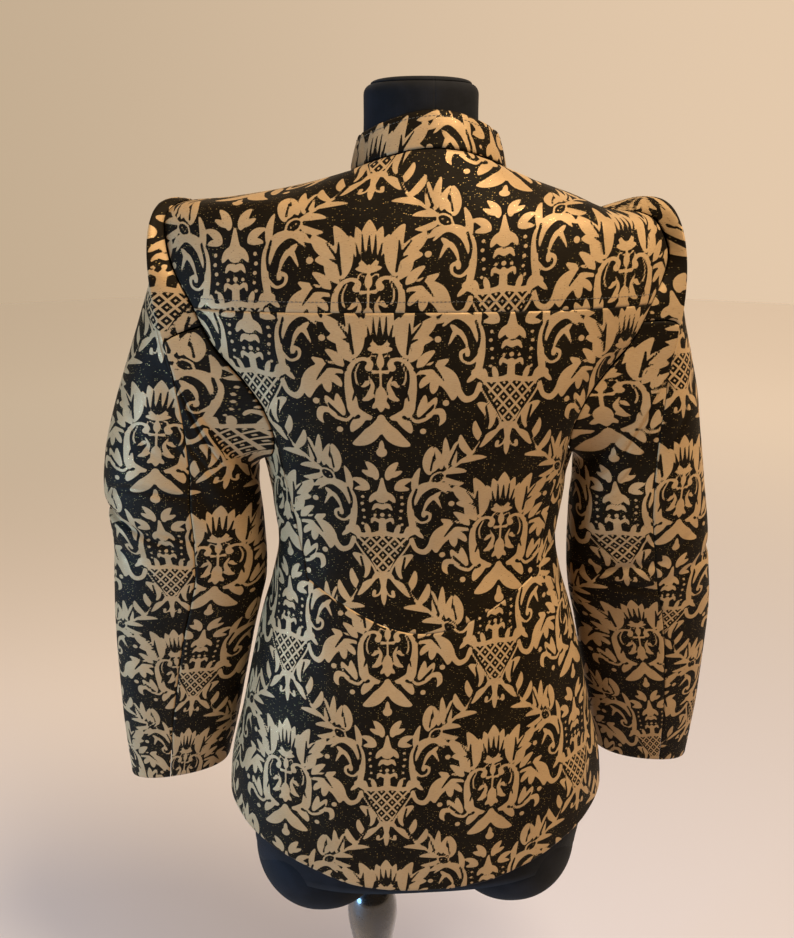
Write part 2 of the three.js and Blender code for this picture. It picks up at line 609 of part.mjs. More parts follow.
function makeFrontSkirt(side) {
  const corner = 26; // the front corners of the hem are rounded off by about this much
  const middleHem = hemAt(-90) + corner;
  const edge = (t) => {
    const level = mix(middleHem, waistAt(-90), t);
    return [frontEdgeTurn(level, -frontLap), level];
  };
  const bottom = (s) => {
    const turn = mix(edge(0)[0], 0, s);
    return [turn, hemAt(Math.max(turn, -90)) + corner * Math.max(1 - s / 0.22, 0) ** 2];
  };
  const top = (s) => {
    const turn = mix(edge(1)[0], 0, s);
    return [turn, waistAt(Math.max(turn, -90))];
  };
  const sideLine = (t) => [0, mix(hemAt(0), waistAt(0), t)];
  const first = edge(1)[0];
  const foot = 1 - frontSeamAt(frontFoot).turn / -first;
  const columns = [
    ...evenly(frontColumns).map((x) => x * foot),
    ...sideFrontColumns.slice(1).map((x) => mix(foot, 1, x)),
  ];
  const pointAt = drawnIn(between(bottom, top, edge, sideLine), 220, 300, {}, lapRaise(side));
  add(jacket, "front_skirt_" + side, wall([{ pointAt, columns, rows: evenly(skirtRows) }], side === "R"),
    materials.damask);
}

// ---- collar --------------------------------------------------------------------------------------------

// A band that stands on the neck seam and leans in a little, open at the centre front.
function makeCollar() {
  const lean = { back: 9, side: 7.5, front: 7 };
  const opening = 1.6; // degrees left open on each side of the centre front
  const lift = 0.7;
  const pointAt = (s, t) => {
    const turn = mix(-90 + opening, 270 - opening, s);
    const base = trunkPoint(turn, neckLevel);
    const [c, ahead] = [Math.cos(rad(turn)), Math.sin(rad(turn)) < 0];
    const roll = mix(ahead ? lean.front : lean.back, lean.side, c * c) * (t * 0.55 + 0.45 * t * t);
    const inward = new THREE.Vector3(neckShift - base.x, -base.y, 0).normalize();
    const drop = 2.5 * Math.exp(-(((Math.abs(90 - turn) - 180) / 26) ** 2)); // the front corners fall away
    return base.addScaledVector(inward, roll).add(new THREE.Vector3(0, 0, lift + t * (collarHeight - drop)));
  };
  const thickness = clothThickness + 0.8; // two layers
  add(jacket, "collar", wall([{ pointAt, columns: evenly(34), rows: evenly(3) }], false, thickness),
    materials.damask);
}

// ---- sleeves -------------------------------------------------------------------------------------------

function makeSleeve(side) {
  const sleeve = sleeves[side];
  const seam = 0.9; // degrees left open at each long seam
  const rows = evenly(17);
  const startAt = (angle) => {
    const line = trunkPoint(...armholePlace(angle), sleeve.mirrored);
    return (armholeBlend * sleeveClear) / line.distanceTo(sleevePoint(sleeve, angle, armholeBlend));
  };
  // Counted from the cuff up and from front to back, so that the wall's inner face lies inside the sleeve.
  const piece = (name, fromAt, toAt) => {
    const pointAt = (s, t) => {
      const row = mix(lastSection, 0, t);
      const angle = mix(toAt(row) - seam, fromAt(row) + seam, s);
      return sleevePoint(sleeve, angle, mix(lastSection, startAt(angle), t));
    };
    const columns = shares(armholeStops(fromAt(0), toAt(0))).map((x) => 1 - x).reverse();
    add(jacket, name + side, wall([{ pointAt, columns, rows }], side === "R"), materials.damask);
  };
  const behind = (number) => sleeve.at(number).seam;
  const before = () => frontSleeveSeam;
  piece("upper_sleeve_", behind, before);
  piece("under_sleeve_", before, (number) => behind(number) + 360);
}

// ---- buttons -------------------------------------------------------------------------------------------

const buttonCount = 7;
const buttonTop = 1176;
const buttonPitch = 72;

function makeButtons() {
  const shank = 2.2;
  const profile = [
    [0, 0.45], [2.4, 0.45], [2.4, shank], [buttonRadius - 0.6, shank], [buttonRadius, shank + 1.2],
    [buttonRadius * 0.6, shank + 3], [0, shank + 3.4],
  ].map(([x, y]) => new THREE.Vector2(x, y));
  const ahead = new THREE.Vector3();
  for (let k = 0; k < buttonCount; k++) {
    const height = buttonTop - buttonPitch * k;
    const level = levelOfFront(height);
    const seat = trunkPoint(-90, level);
    seat.y -= lapLift;
    const upward = trunkPoint(-90, level + 1).sub(trunkPoint(-90, level - 1));
    ahead.set(1, 0, 0).cross(upward).normalize();
    const button = add(jacket, "button_" + (k + 1), new THREE.LatheGeometry(profile, 10), materials.button);
    button.quaternion.setFromUnitVectors(new THREE.Vector3(0, 1, 0), ahead);
    button.position.copy(seat);
  }
}

// The level whose ring passes a height at the centre front.
function levelOfFront(height) {
  let [low, high] = [600, neckLevel];
  for (let k = 0; k < 40; k++) {
    const middle = (low + high) / 2;
    if (ringAt(middle).front < height) low = middle;
    else high = middle;
  }
  return (low + high) / 2;
}

// ---- the dress form and its stand ----------------------------------------------------------------------

// A closed solid through rings of equal counts of points, each ring a list of points that runs anticlockwise
// seen from above, the lowest ring first.
function loft(rings) {
  const count = rings[0].length;
  const points = rings.flat();
  const index = [];
  for (let j = 0; j < rings.length - 1; j++)
    for (let i = 0; i < count; i++) {
      const [a, b] = [j * count + i, j * count + ((i + 1) % count)];
      index.push(a, b, b + count, a, b + count, a + count);
    }
  const cap = (ring, first, up) => {
    const centre = ring.reduce((sum, p) => sum.add(p), new THREE.Vector3()).divideScalar(count);
    const middle = points.push(centre) - 1;
    for (let i = 0; i < count; i++) {
      const [a, b] = [first + i, first + ((i + 1) % count)];
      index.push(...(up ? [middle, a, b] : [middle, b, a]));
    }
  };
  cap(rings[0], 0, false);
  cap(rings.at(-1), (rings.length - 1) * count, true);
  return geometryFrom(points, index);
}

function manifoldOf(geometry) {
  const bare = geometry.index ? geometry.toNonIndexed() : geometry.clone();
  bare.deleteAttribute("normal");
  bare.deleteAttribute("uv");
  const merged = mergeVertices(bare, 1e-3);
  return new wasm.Manifold(new wasm.Mesh({
    numProp: 3,
    vertProperties: new Float32Array(merged.attributes.position.array),
    triVerts: new Uint32Array(merged.index.array),
  }));
}

function geometryOf(manifold) {
  const mesh = manifold.getMesh();
  const geometry = new THREE.BufferGeometry();
  geometry.setAttribute("position", new THREE.BufferAttribute(new Float32Array(mesh.vertProperties), 3));
  geometry.setIndex(Array.from(mesh.triVerts));
  return geometry;
}

const easeAt = curves(formEase, "level");

function formRing(level, count) {
  const ease = easeAt(level).ease + clothThickness;
  return Array.from({ length: count }, (_, i) => {
    const point = trunkPoint((360 * i) / count, level);
    const flat = Math.hypot(point.x, point.y);
    const slant = smooth(level, 1100, 1165); // near the neck the room is measured down as well as in
    point.x -= (point.x / flat) * ease * (1 - 0.6 * slant);
    point.y -= (point.y / flat) * ease * (1 - 0.4 * slant);
    point.z -= ease * slant;
    const over = Math.abs(point.x) - formShoulderHalf;
    if (over > 0) point.x = Math.sign(point.x) * (formShoulderHalf + over * 0.06);
    return point;
  });
}

const superRing = (middleX, height, half, depth, square, count) =>
  Array.from({ length: count }, (_, i) => {
    const turn = (2 * Math.PI * i) / count;
    const [c, s] = [Math.cos(turn), Math.sin(turn)];
    const reach = ((Math.abs(c) / half) ** square + (Math.abs(s) / depth) ** square) ** (-1 / square);
    return new THREE.Vector3(middleX + reach * c, reach * s, height);
  });

// A ring of the form's neck, a share of the way from the foot of the collar to the neck's top.
function neckRing(share, count, inset = 0) {
  return formRing(neckLevel, count).map((foot, i) => {
    const turn = (2 * Math.PI * i) / count;
    const [c, s] = [Math.cos(turn), Math.sin(turn)];
    const depth = s >= 0 ? neckTop.rear : neckTop.fore;
    const reach = ((Math.abs(c) / neckTop.half) ** 2.1 + (Math.abs(s) / depth) ** 2.1) ** (-1 / 2.1) - inset;
    const settle = 1 - (1 - Math.min(share, 1)) ** 4;
    return new THREE.Vector3(
      mix(foot.x, reach * c, settle),
      mix(foot.y, reach * s, settle),
      mix(foot.z, neckTop.height - neckTop.edge, share),
    );
  });
}

function lobeGeometry(side, count) {
  const levels = [0, 0.05, 0.16, 0.34, 0.6, 1];
  const rings = levels.map((u) => {
    const height = mix(lobe.bottom, lobe.bottom + lobe.roundness, u);
    const grow = Math.sqrt(1 - (1 - Math.max(u, 0.012)) ** 2) ** 0.8;
    return superRing(side * lobe.apart, height, lobe.half * grow, lobe.depth * (0.25 + 0.75 * grow), 2.2, count);
  });
  rings.push(superRing(side * (lobe.apart - 8), lobe.top, lobe.half + 8, lobe.depth + 2, 2.2, count));
  return loft(rings);
}

// The stem's outline from the base up: distance from its axis, then height.
const baseTop = 26;
const tenon = { radius: 12, top: 540 }; // the stem's end, inside the form
const stemProfile = [
  [26, baseTop], [26, 34], [19, 41], [16, 60], [16, 74], [23, 81], [23, 90], [17, 97], [15, 118],
  [16, 170], [21, 235], [25, 280], [17, 322], [22, 334], [22, 344], [16, 352],
  [22, 372], [28.5, 412], [28.5, 430], [24, 450], [tenon.radius, 464], [tenon.radius, tenon.top],
];

function stemGeometry() {
  const outline = [[0, baseTop], ...stemProfile, [0, tenon.top]];
  return new THREE.LatheGeometry(outline.map(([r, z]) => new THREE.Vector2(r, z)), 16).rotateX(Math.PI / 2);
}

function makeForm() {
  const count = 28;
  const levels = [
    540, 600, 650, 700, 765, 815, 850, 893, 935, 975, 1005, 1040, 1092, 1125, 1160, 1190, 1210, 1225, 1238,
  ];
  const rings = [
    ...levels.map((level) => formRing(level, count)),
    ...[0, 0.12, 0.26, 0.45, 0.7, 1].map((share) => neckRing(share, count)),
  ];
  for (const [up, inset] of [[4.4, 1], [7, 3.4], [8, 7]])
    rings.push(neckRing(1, count, inset).map((p) => p.setZ(neckTop.height - neckTop.edge + up)));
  let torso = manifoldOf(loft(rings));
  for (const side of [1, -1]) torso = torso.add(manifoldOf(lobeGeometry(side, 20)));
  const socket = new THREE.CylinderGeometry(tenon.radius + 0.4, tenon.radius + 0.4, 160, 16).rotateX(Math.PI / 2);
  torso = torso.subtract(manifoldOf(socket.translate(stemFromMiddle, 0, tenon.top + 0.4 - 80)));
  add(form, "form_torso", geometryOf(torso), materials.formCloth);

  const cap = [[0.3, 6], [2, 6.6], [3.6, 10], [4.4, 20]].map(([up, inset]) =>
    neckRing(1, count, inset).map((p) => p.setZ(neckTop.height + up)));
  add(form, "neck_cap", loft(cap), materials.formCloth);

  add(form, "stand_stem", stemGeometry().translate(stemFromMiddle, 0, 0), materials.stainedWood);
}

function makeBase() {
  const outline = [[0, 0], [150, 0], [154, 3], [154, 9], [149, 14], [110, 18], [60, 21], [40, 25.7], [0, 25.7]];
  const base = new THREE.LatheGeometry(outline.map(([r, z]) => new THREE.Vector2(r, z)), 36).rotateX(Math.PI / 2);
  add(form, "stand_base", base.translate(stemFromMiddle, 0, 0), materials.stainedWood);
}

makeYoke();
makeBack();
makeBackSkirt();
makeCollar();
for (const side of ["L", "R"]) {
  makeSideFront(side);
  makeFront(side);
  makeFrontSkirt(side);
  makeSleeve(side);
}
makeButtons();
makeForm();
makeBase();

const part = new THREE.Group();
part.add(jacket, form);
part.position.x = -stemFromMiddle;
export default part;
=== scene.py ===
"""A fitted damask jacket on a limbless dress form with a turned stand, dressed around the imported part.

Shapes are worked out in millimetres with the form's middle at x = 0, and go into their meshes in metres,
moved to where the part has them. The jacket's front faces -Y and the wearer's left is +X.

Cloth lies on two surfaces. A place on the trunk is (turn, level): degrees round the body, 0 at the wearer's
left side and 90 at the centre back, and the height that a ring has at the centre back. A place on a sleeve
is (angle, number): degrees round it, 0 behind and 90 outside, and the number of a section from the armhole
down. Each piece of cloth is cut from a surface by four seam lines.
"""

import bpy
import numpy as np
from mathutils import Matrix


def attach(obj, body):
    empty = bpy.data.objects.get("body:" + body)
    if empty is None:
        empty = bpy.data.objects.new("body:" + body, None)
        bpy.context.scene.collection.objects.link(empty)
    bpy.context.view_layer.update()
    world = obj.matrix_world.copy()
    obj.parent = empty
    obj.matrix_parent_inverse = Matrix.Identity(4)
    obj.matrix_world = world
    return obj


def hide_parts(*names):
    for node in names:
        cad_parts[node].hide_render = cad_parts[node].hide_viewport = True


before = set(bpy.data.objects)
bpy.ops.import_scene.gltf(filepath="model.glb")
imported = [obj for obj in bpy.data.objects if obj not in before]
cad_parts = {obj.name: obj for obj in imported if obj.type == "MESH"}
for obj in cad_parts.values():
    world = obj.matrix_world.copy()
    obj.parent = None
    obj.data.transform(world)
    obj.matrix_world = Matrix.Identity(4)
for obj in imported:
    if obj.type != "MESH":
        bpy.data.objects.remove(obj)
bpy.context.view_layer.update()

# ---- sizes of the jacket, as the solids have them --------------------------------------------------------

CLOTH = 1.6  # thickness
STEM_FROM_MIDDLE = 49
YOKE_SEAM, NECK = 1125, 1250
NECK_SHIFT = -7  # the neckline sits this far to the wearer's right
ARMHOLE_BOTTOM, ARMHOLE_TOP = 978, 1210
BACK_MEETING, FRONT_MEETING = 1030, 1105  # where the shaped seams run into the armhole
WAIST_AT_SIDE, WAIST_DROP_BACK, WAIST_DROP_FRONT = 893, 63, 30
HEM_BACK, HEM_FRONT, HEM_SIDE = 560, 572, 616
FRONT_LAP, LAP_LIFT = 11, 2.7
COLLAR_HEIGHT = 29
BUTTON_RADIUS, BUTTON_COUNT, BUTTON_TOP, BUTTON_PITCH = 9, 7, 1176, 72
SEAM_GAP = 0.3

RING_COLUMNS = ("level", "side", "front", "half", "rear", "fore", "square", "askew")
TRUNK_RINGS = (
    (520, 520, 520, 194, 120, 111, 2.35, 0),
    (600, 600, 600, 200, 121, 113, 2.35, 0),
    (640, 640, 640, 197, 121, 114, 2.35, 0),
    (700, 700, 700, 183, 117, 112, 2.35, 0),
    (765, 765, 765, 168.5, 108, 108, 2.35, 0),
    (815, 815, 815, 156, 98, 101, 2.3, 0),
    (850, 850, 850, 145, 89, 96, 2.3, 0),
    (893, 893, 893, 137, 80, 91, 2.3, 0),
    (935, 935, 935, 141, 85, 96, 2.3, 0),
    (975, 975, 975, 147, 93, 103, 2.35, 0),
    (1005, 1005, 1005, 156, 98, 110, 2.4, 0),
    (1040, 1040, 1040, 175, 102, 116, 2.5, 0),
    (1092, 1092, 1088, 211, 104, 112, 2.5, 0),
    (1125, 1125, 1114, 225, 104, 103, 2.5, 0),
    (1160, 1161, 1139, 228, 99, 91, 2.5, 1),
    (1186, 1191, 1158, 219, 92, 81, 2.5, 8),
    (1206, 1208, 1174, 187, 84, 73, 2.45, 19),
    (1221, 1211, 1186, 160, 77, 67, 2.4, 13),
    (1234, 1217, 1197, 128, 70, 62, 2.3, 7),
    (1243, 1225, 1204, 96, 65.5, 59, 2.2, 2),
    (1250, 1233, 1210, 68, 62, 57, 2.1, 0),
)
SPAN_COLUMNS = ("level", "behind", "before")
ARMHOLE_SPANS = (
    (978, 41, 36), (1000, 38, 34), (1035, 31, 30), (1060, 25, 27),
    (1092, 20.4, 24), (1125, 19.2, 21), (1160, 15.9, 18), (1210, 15, 16),
)
SEAM_COLUMNS = ("level", "turn")
BACK_SEAM = ((845, 41), (858, 34), (876, 27.5), (912, 24), (965, 23.6), (1003, 25.3))
FRONT_SEAM = ((868, 49), (920, 50), (965, 53), (1020, 56), (1055, 53), (1085, 40))
SHOULDER_DIP = {"across": 165, "width": 22, "depth": 7, "from": 1180, "full": 1206}  # on the wearer's right
BUST = {"turn": 57, "level": 1052, "rise": 19, "turn_spread": 23, "level_spread": 50}

# Troughs: from a place, to a place, width and depth. A negative depth is a ridge.
TRUNK_FOLDS = (
    (25, 1075, 14, 965, 16, 4.5), (30, 820, 24, 690, 21, 3),
    (-28, 1080, -14, 970, 16, 4), (-34, 825, -28, 690, 21, 3),
)
SECTION_COLUMNS = ("number", "out_x", "out_z", "in_x", "in_z", "depth", "forward", "bow", "square", "seam")
LEFT_SLEEVE = (
    (0, 196, 1212, 150, 977, 60, -2, 44, 2.2, 8),
    (1, 217, 1213, 151.5, 973, 60, -2, 33.5, 2.5, 5),
    (2, 222, 1205, 152.5, 968, 59, -2, 32, 2.8, 2),
    (3, 222.5, 1189, 153, 962, 58, -2, 30.5, 2.9, -2),
    (4, 227.5, 1160, 153.5, 955, 57, -1, 28, 2.8, -6),
    (5, 244, 1121, 153.5, 946, 55, 0, 21, 2.6, -9),
    (6, 263.5, 1077, 152.5, 935, 53, 0, 13, 2.4, -10),
    (7, 281, 1032, 151.5, 921, 50, 0, 6, 2.3, -10),
    (8, 294.5, 985, 150.5, 903, 48, 0, 3, 2.2, -10),
    (9, 300.5, 942, 150, 879, 44, 3, 0, 2.2, -9),
    (10, 298.5, 895, 152, 850, 42, 7, 0, 2.2, -8),
    (11, 303.5, 847, 158.5, 820, 40, 13, 0, 2.2, -6),
    (12, 310, 795, 168, 783, 38, 23, 0, 2.2, -3),
    (13, 316, 725, 181, 722, 35, 35, 0, 2.2, 1),
    (14, 319.5, 652, 195, 660, 32, 46, 0, 2.2, 5),
    (15, 320, 584, 210, 600, 27, 56, 0, 2.2, 8),
)
RIGHT_SLEEVE = (
    (0, 193, 1212, 150, 977, 60, -2, 44, 2.2, 8),
    (1, 204, 1215, 151.5, 973, 60, -2, 40, 2.6, 8),
    (2, 209, 1208, 152.5, 968, 59, -2, 38, 2.9, 7),
    (3, 211, 1189, 153, 962, 58, -2, 36, 3, 6),
    (4, 217, 1160, 153.5, 955, 57, -1, 31.5, 2.9, 4),
    (5, 231.5, 1122, 153.5, 946, 56, 0, 24.5, 2.6, 2),
    (6, 249, 1082, 153, 935, 55, 0, 15, 2.4, 1),
    (7, 263.5, 1040, 152.5, 922, 52, 0, 8, 2.3, 1),
    (8, 273, 994, 152.5, 903, 51, 0, 3, 2.2, 2),
    (9, 284, 945, 153.5, 878, 48, 3, 0, 2.2, 3),
    (10, 295, 898, 156, 850, 45, 7, 0, 2.2, 4),
    (11, 304, 850, 161.5, 817, 43, 13, 0, 2.2, 6),
    (12, 314.5, 797, 171, 783, 41, 23, 0, 2.2, 9),
    (13, 320.5, 722, 186, 720, 38, 35, 0, 2.2, 12),
    (14, 324, 650, 200, 660, 35, 46, 0, 2.2, 14),
    (15, 324, 583, 215, 599, 29, 56, 0, 2.2, 16),
)
LEFT_SLEEVE_FOLDS = (
    (104, 9.15, 12, 9.45, 7, 4.5), (60, 10.1, -20, 9.8, 9, 2.5),
    (150, 9.5, 230, 9.2, 9, 4), (-6, 6.2, -30, 8.2, 12, 3),
)
RIGHT_SLEEVE_FOLDS = (
    (-70, 9.8, 6, 10.25, 8, 4.5), (6, 10.9, 84, 10.5, 9, 2.5),
    (150, 10, 230, 9.7, 9, 4), (-6, 6.2, -30, 8.2, 12, 3),
)
FRONT_SLEEVE_SEAM = 202
ARMHOLE_BLEND = 1.6
LAST_SECTION = 15

# ---- smooth tables and blends ----------------------------------------------------------------------------


def mix(a, b, share):
    return a + (b - a) * share


def ease(x, low, high):
    """A smooth step from 0 at low to 1 at high."""
    t = np.clip((x - low) / (high - low), 0, 1)
    return t * t * (3 - 2 * t)


def pair(first, second):
    return np.stack(np.broadcast_arrays(np.asarray(first, float), np.asarray(second, float)), -1)


def smooth_table(columns, rows):
    """Reads a table as smooth curves over its first column, with no overshoot between its rows.

    Between two rows a value follows a cubic. Its slope at a row is the harmonic mean of the slopes on either
    side, or nothing where they differ in sign."""
    at, *values = np.array(rows, float).T
    values = np.array(values)
    rise = np.diff(values) / np.diff(at)
    before, after = rise[:, :-1], rise[:, 1:]
    agree = before * after > 0
    inner = np.where(agree, 2 * before * after / np.where(agree, before + after, 1), 0)
    slope = np.hstack([rise[:, :1], inner, rise[:, -1:]])

    def read(x):
        x = np.asarray(x, float)
        i = np.searchsorted(at[1:-1], x)
        step = at[i + 1] - at[i]
        u = np.clip((x - at[i]) / step, -0.5, 1.5)
        low, high = values[:, i], values[:, i + 1]
        leave, arrive = slope[:, i] * step, slope[:, i + 1] * step
        found = (low * (2 * u**3 - 3 * u**2 + 1) + leave * (u**3 - 2 * u**2 + u)
                 + high * (3 * u**2 - 2 * u**3) + arrive * (u**3 - u**2))
        return dict(zip(columns[1:], found))

    return read


def troughs(folds, across, up, scale):
    """How deep the cloth sinks at each place: a bell of the distance from each fold's line, times its depth,
    fading towards both of its ends."""
    depth = np.zeros(np.broadcast(across, up).shape)
    for from_across, from_up, to_across, to_up, width, deep in folds:
        ax, ay = from_across * scale[0], from_up * scale[1]
        dx, dy = to_across * scale[0] - ax, to_up * scale[1] - ay
        px, py = across * scale[0] - ax, up * scale[1] - ay
        along = np.clip((px * dx + py * dy) / (dx * dx + dy * dy), 0, 1)
        away = np.hypot(px - along * dx, py - along * dy) / width
        depth += deep * np.exp(-(away**2)) * (0.35 + 0.65 * np.sin(np.pi * (0.15 + 0.7 * along)))
    return depth


# ---- the trunk -------------------------------------------------------------------------------------------

ring_at = smooth_table(RING_COLUMNS, TRUNK_RINGS)
span_at = smooth_table(SPAN_COLUMNS, ARMHOLE_SPANS)
TRUNK_SCALE = (2.4, 1)  # millimetres to a degree of turn, and to a unit of level


def trunk_point(turn, level, mirrored=False):
    """The trunk's outer face: a rounded box in plan, whose half width and depths follow the ring table. The
    bust adds two bells and the folds take away their troughs. Height goes from the side's to the back's or
    the front's with the square of the sine of the turn. The shoulders sit a little to the wearer's left, and
    the right one is pressed down. mirrored is for places that are turned into their mirror image after."""
    ring = ring_at(level)
    c, s = np.cos(np.radians(turn)), np.sin(np.radians(turn))
    depth = np.where(s >= 0, ring["rear"], ring["fore"])
    square = ring["square"]
    reach = ((np.abs(c) / ring["half"]) ** square + (np.abs(s) / depth) ** square) ** (-1 / square)
    from_side = np.degrees(np.arcsin(np.clip(s, -1, 1)))
    up = (level - BUST["level"]) / BUST["level_spread"]
    for across in (from_side + BUST["turn"], -180 - from_side + BUST["turn"]):
        bell = BUST["rise"] * np.exp(-((across / BUST["turn_spread"]) ** 2) - up**2)
        reach = reach + np.where(s < 0, bell, 0)
    reach = reach - troughs(TRUNK_FOLDS, from_side, level, TRUNK_SCALE)
    height = ring["side"] + (np.where(s >= 0, level, ring["front"]) - ring["side"]) * s * s
    hand = -1 if mirrored else 1
    across = reach * c + hand * (NECK_SHIFT * ease(level, ARMHOLE_TOP + 2, NECK) + ring["askew"] * c * c)
    away = (np.abs(across) - SHOULDER_DIP["across"]) / SHOULDER_DIP["width"]
    high = ease(level, SHOULDER_DIP["from"], SHOULDER_DIP["full"])
    dip = SHOULDER_DIP["depth"] * high * np.exp(-away * away)
    height = height - np.where(hand * c < 0, dip, 0)
    return np.stack(np.broadcast_arrays(across, reach * s, height), -1)


def armhole_place(angle):
    """The armhole's line at an angle round it: 90 at the shoulder, 0 behind, -90 underneath, 180 in front."""
    middle, half = (ARMHOLE_TOP + ARMHOLE_BOTTOM) / 2, (ARMHOLE_TOP - ARMHOLE_BOTTOM) / 2
    level = middle + half * np.sin(np.radians(angle))
    span, across = span_at(level), np.cos(np.radians(angle))
    return pair(np.where(across >= 0, span["behind"], span["before"]) * across, level)


def armhole_angle(level, behind):
    middle, half = (ARMHOLE_TOP + ARMHOLE_BOTTOM) / 2, (ARMHOLE_TOP - ARMHOLE_BOTTOM) / 2
    up = np.degrees(np.arcsin(np.clip((level - middle) / half, -1, 1)))
    return up if behind else 180 - up


def seam_to_armhole(rows, level, behind):
    """A shaped seam's table, ended where it meets the armhole."""
    turn = abs(float(armhole_place(armhole_angle(level, behind))[0]))
    return smooth_table(SEAM_COLUMNS, rows + ((level, turn),))


back_seam_at = seam_to_armhole(BACK_SEAM, BACK_MEETING, True)
front_seam_at = seam_to_armhole(FRONT_SEAM, FRONT_MEETING, False)


def waist_at(turn):
    s = np.sin(np.radians(turn))
    return WAIST_AT_SIDE - np.where(s >= 0, WAIST_DROP_BACK, WAIST_DROP_FRONT) * np.abs(s) ** 1.53


def hem_at(turn):
    low = np.where(np.sin(np.radians(turn)) >= 0, HEM_BACK, HEM_FRONT)
    return mix(low, HEM_SIDE, np.abs(np.cos(np.radians(turn))) ** 3.2)


def front_edge_turn(level, distance):
    return -90 + np.degrees(np.arctan2(distance, ring_at(level)["fore"]))


def opening_turn(level, behind):
    """The turn of the armhole's edge at a level, or of the shoulder seam above the armhole."""
    clear = 0.15 if behind else -0.15
    return np.where(level >= ARMHOLE_TOP, 0, armhole_place(armhole_angle(level, behind))[..., 0] + clear)


def foot_of_seam(seam_at, way):
    """The level at which a shaped seam reaches the waist seam, found by halving the way there."""
    level = float(WAIST_AT_SIDE)
    for _ in range(30):
        level = (level + float(waist_at(way * seam_at(level)["turn"]))) / 2
    return level


back_foot = foot_of_seam(back_seam_at, 1)
front_foot = foot_of_seam(front_seam_at, -1)

# ---- the sleeves -----------------------------------------------------------------------------------------

SLEEVE_SCALE = (1, 55)  # to a degree round, and to a section
SLEEVES = {
    "L": {"at": smooth_table(SECTION_COLUMNS, LEFT_SLEEVE), "folds": LEFT_SLEEVE_FOLDS, "hand": 1},
    "R": {"at": smooth_table(SECTION_COLUMNS, RIGHT_SLEEVE), "folds": RIGHT_SLEEVE_FOLDS, "hand": -1},
}


def sleeve_point(side, angle, number):
    """A sleeve's outer face: each section is a rounded box between its outer and inner ends, drawn in by the
    folds, and the first sections leave the armhole's line evenly. The right sleeve is then mirrored."""
    sleeve = SLEEVES[side]
    row = sleeve["at"](number)
    c, s = np.cos(np.radians(angle)), np.sin(np.radians(angle))
    square = row["square"]
    round_it = (np.abs(c) ** square + np.abs(s) ** square) ** (-1 / square)
    folded = troughs(sleeve["folds"], np.where(angle > 270, angle - 360, angle), number, SLEEVE_SCALE)
    shrink = 1 - folded / 55
    out = shrink * s * round_it / 2
    x = (row["out_x"] + row["in_x"]) / 2 + out * (row["out_x"] - row["in_x"]) + row["bow"] * c * c
    y = shrink * row["depth"] * c * round_it - row["forward"]
    z = (row["out_z"] + row["in_z"]) / 2 + out * (row["out_z"] - row["in_z"])
    own = np.stack(np.broadcast_arrays(x, y, z), -1)
    line = armhole_place(angle)
    start = trunk_point(line[..., 0], line[..., 1], sleeve["hand"] < 0)
    share = np.clip(number / ARMHOLE_BLEND, 0, 1)[..., None]
    return mix(start, own, share) * np.array([sleeve["hand"], 1, 1])


# ---- the damask ------------------------------------------------------------------------------------------

COLUMN, REPEAT = 108, 316  # the figure's columns, each a mirror of itself, and its repeat down a column
DRAWN = 0.4  # spacing at which the figure is worked out
FAR = 3.0  # beyond this distance from an edge the figure's distance isn't kept

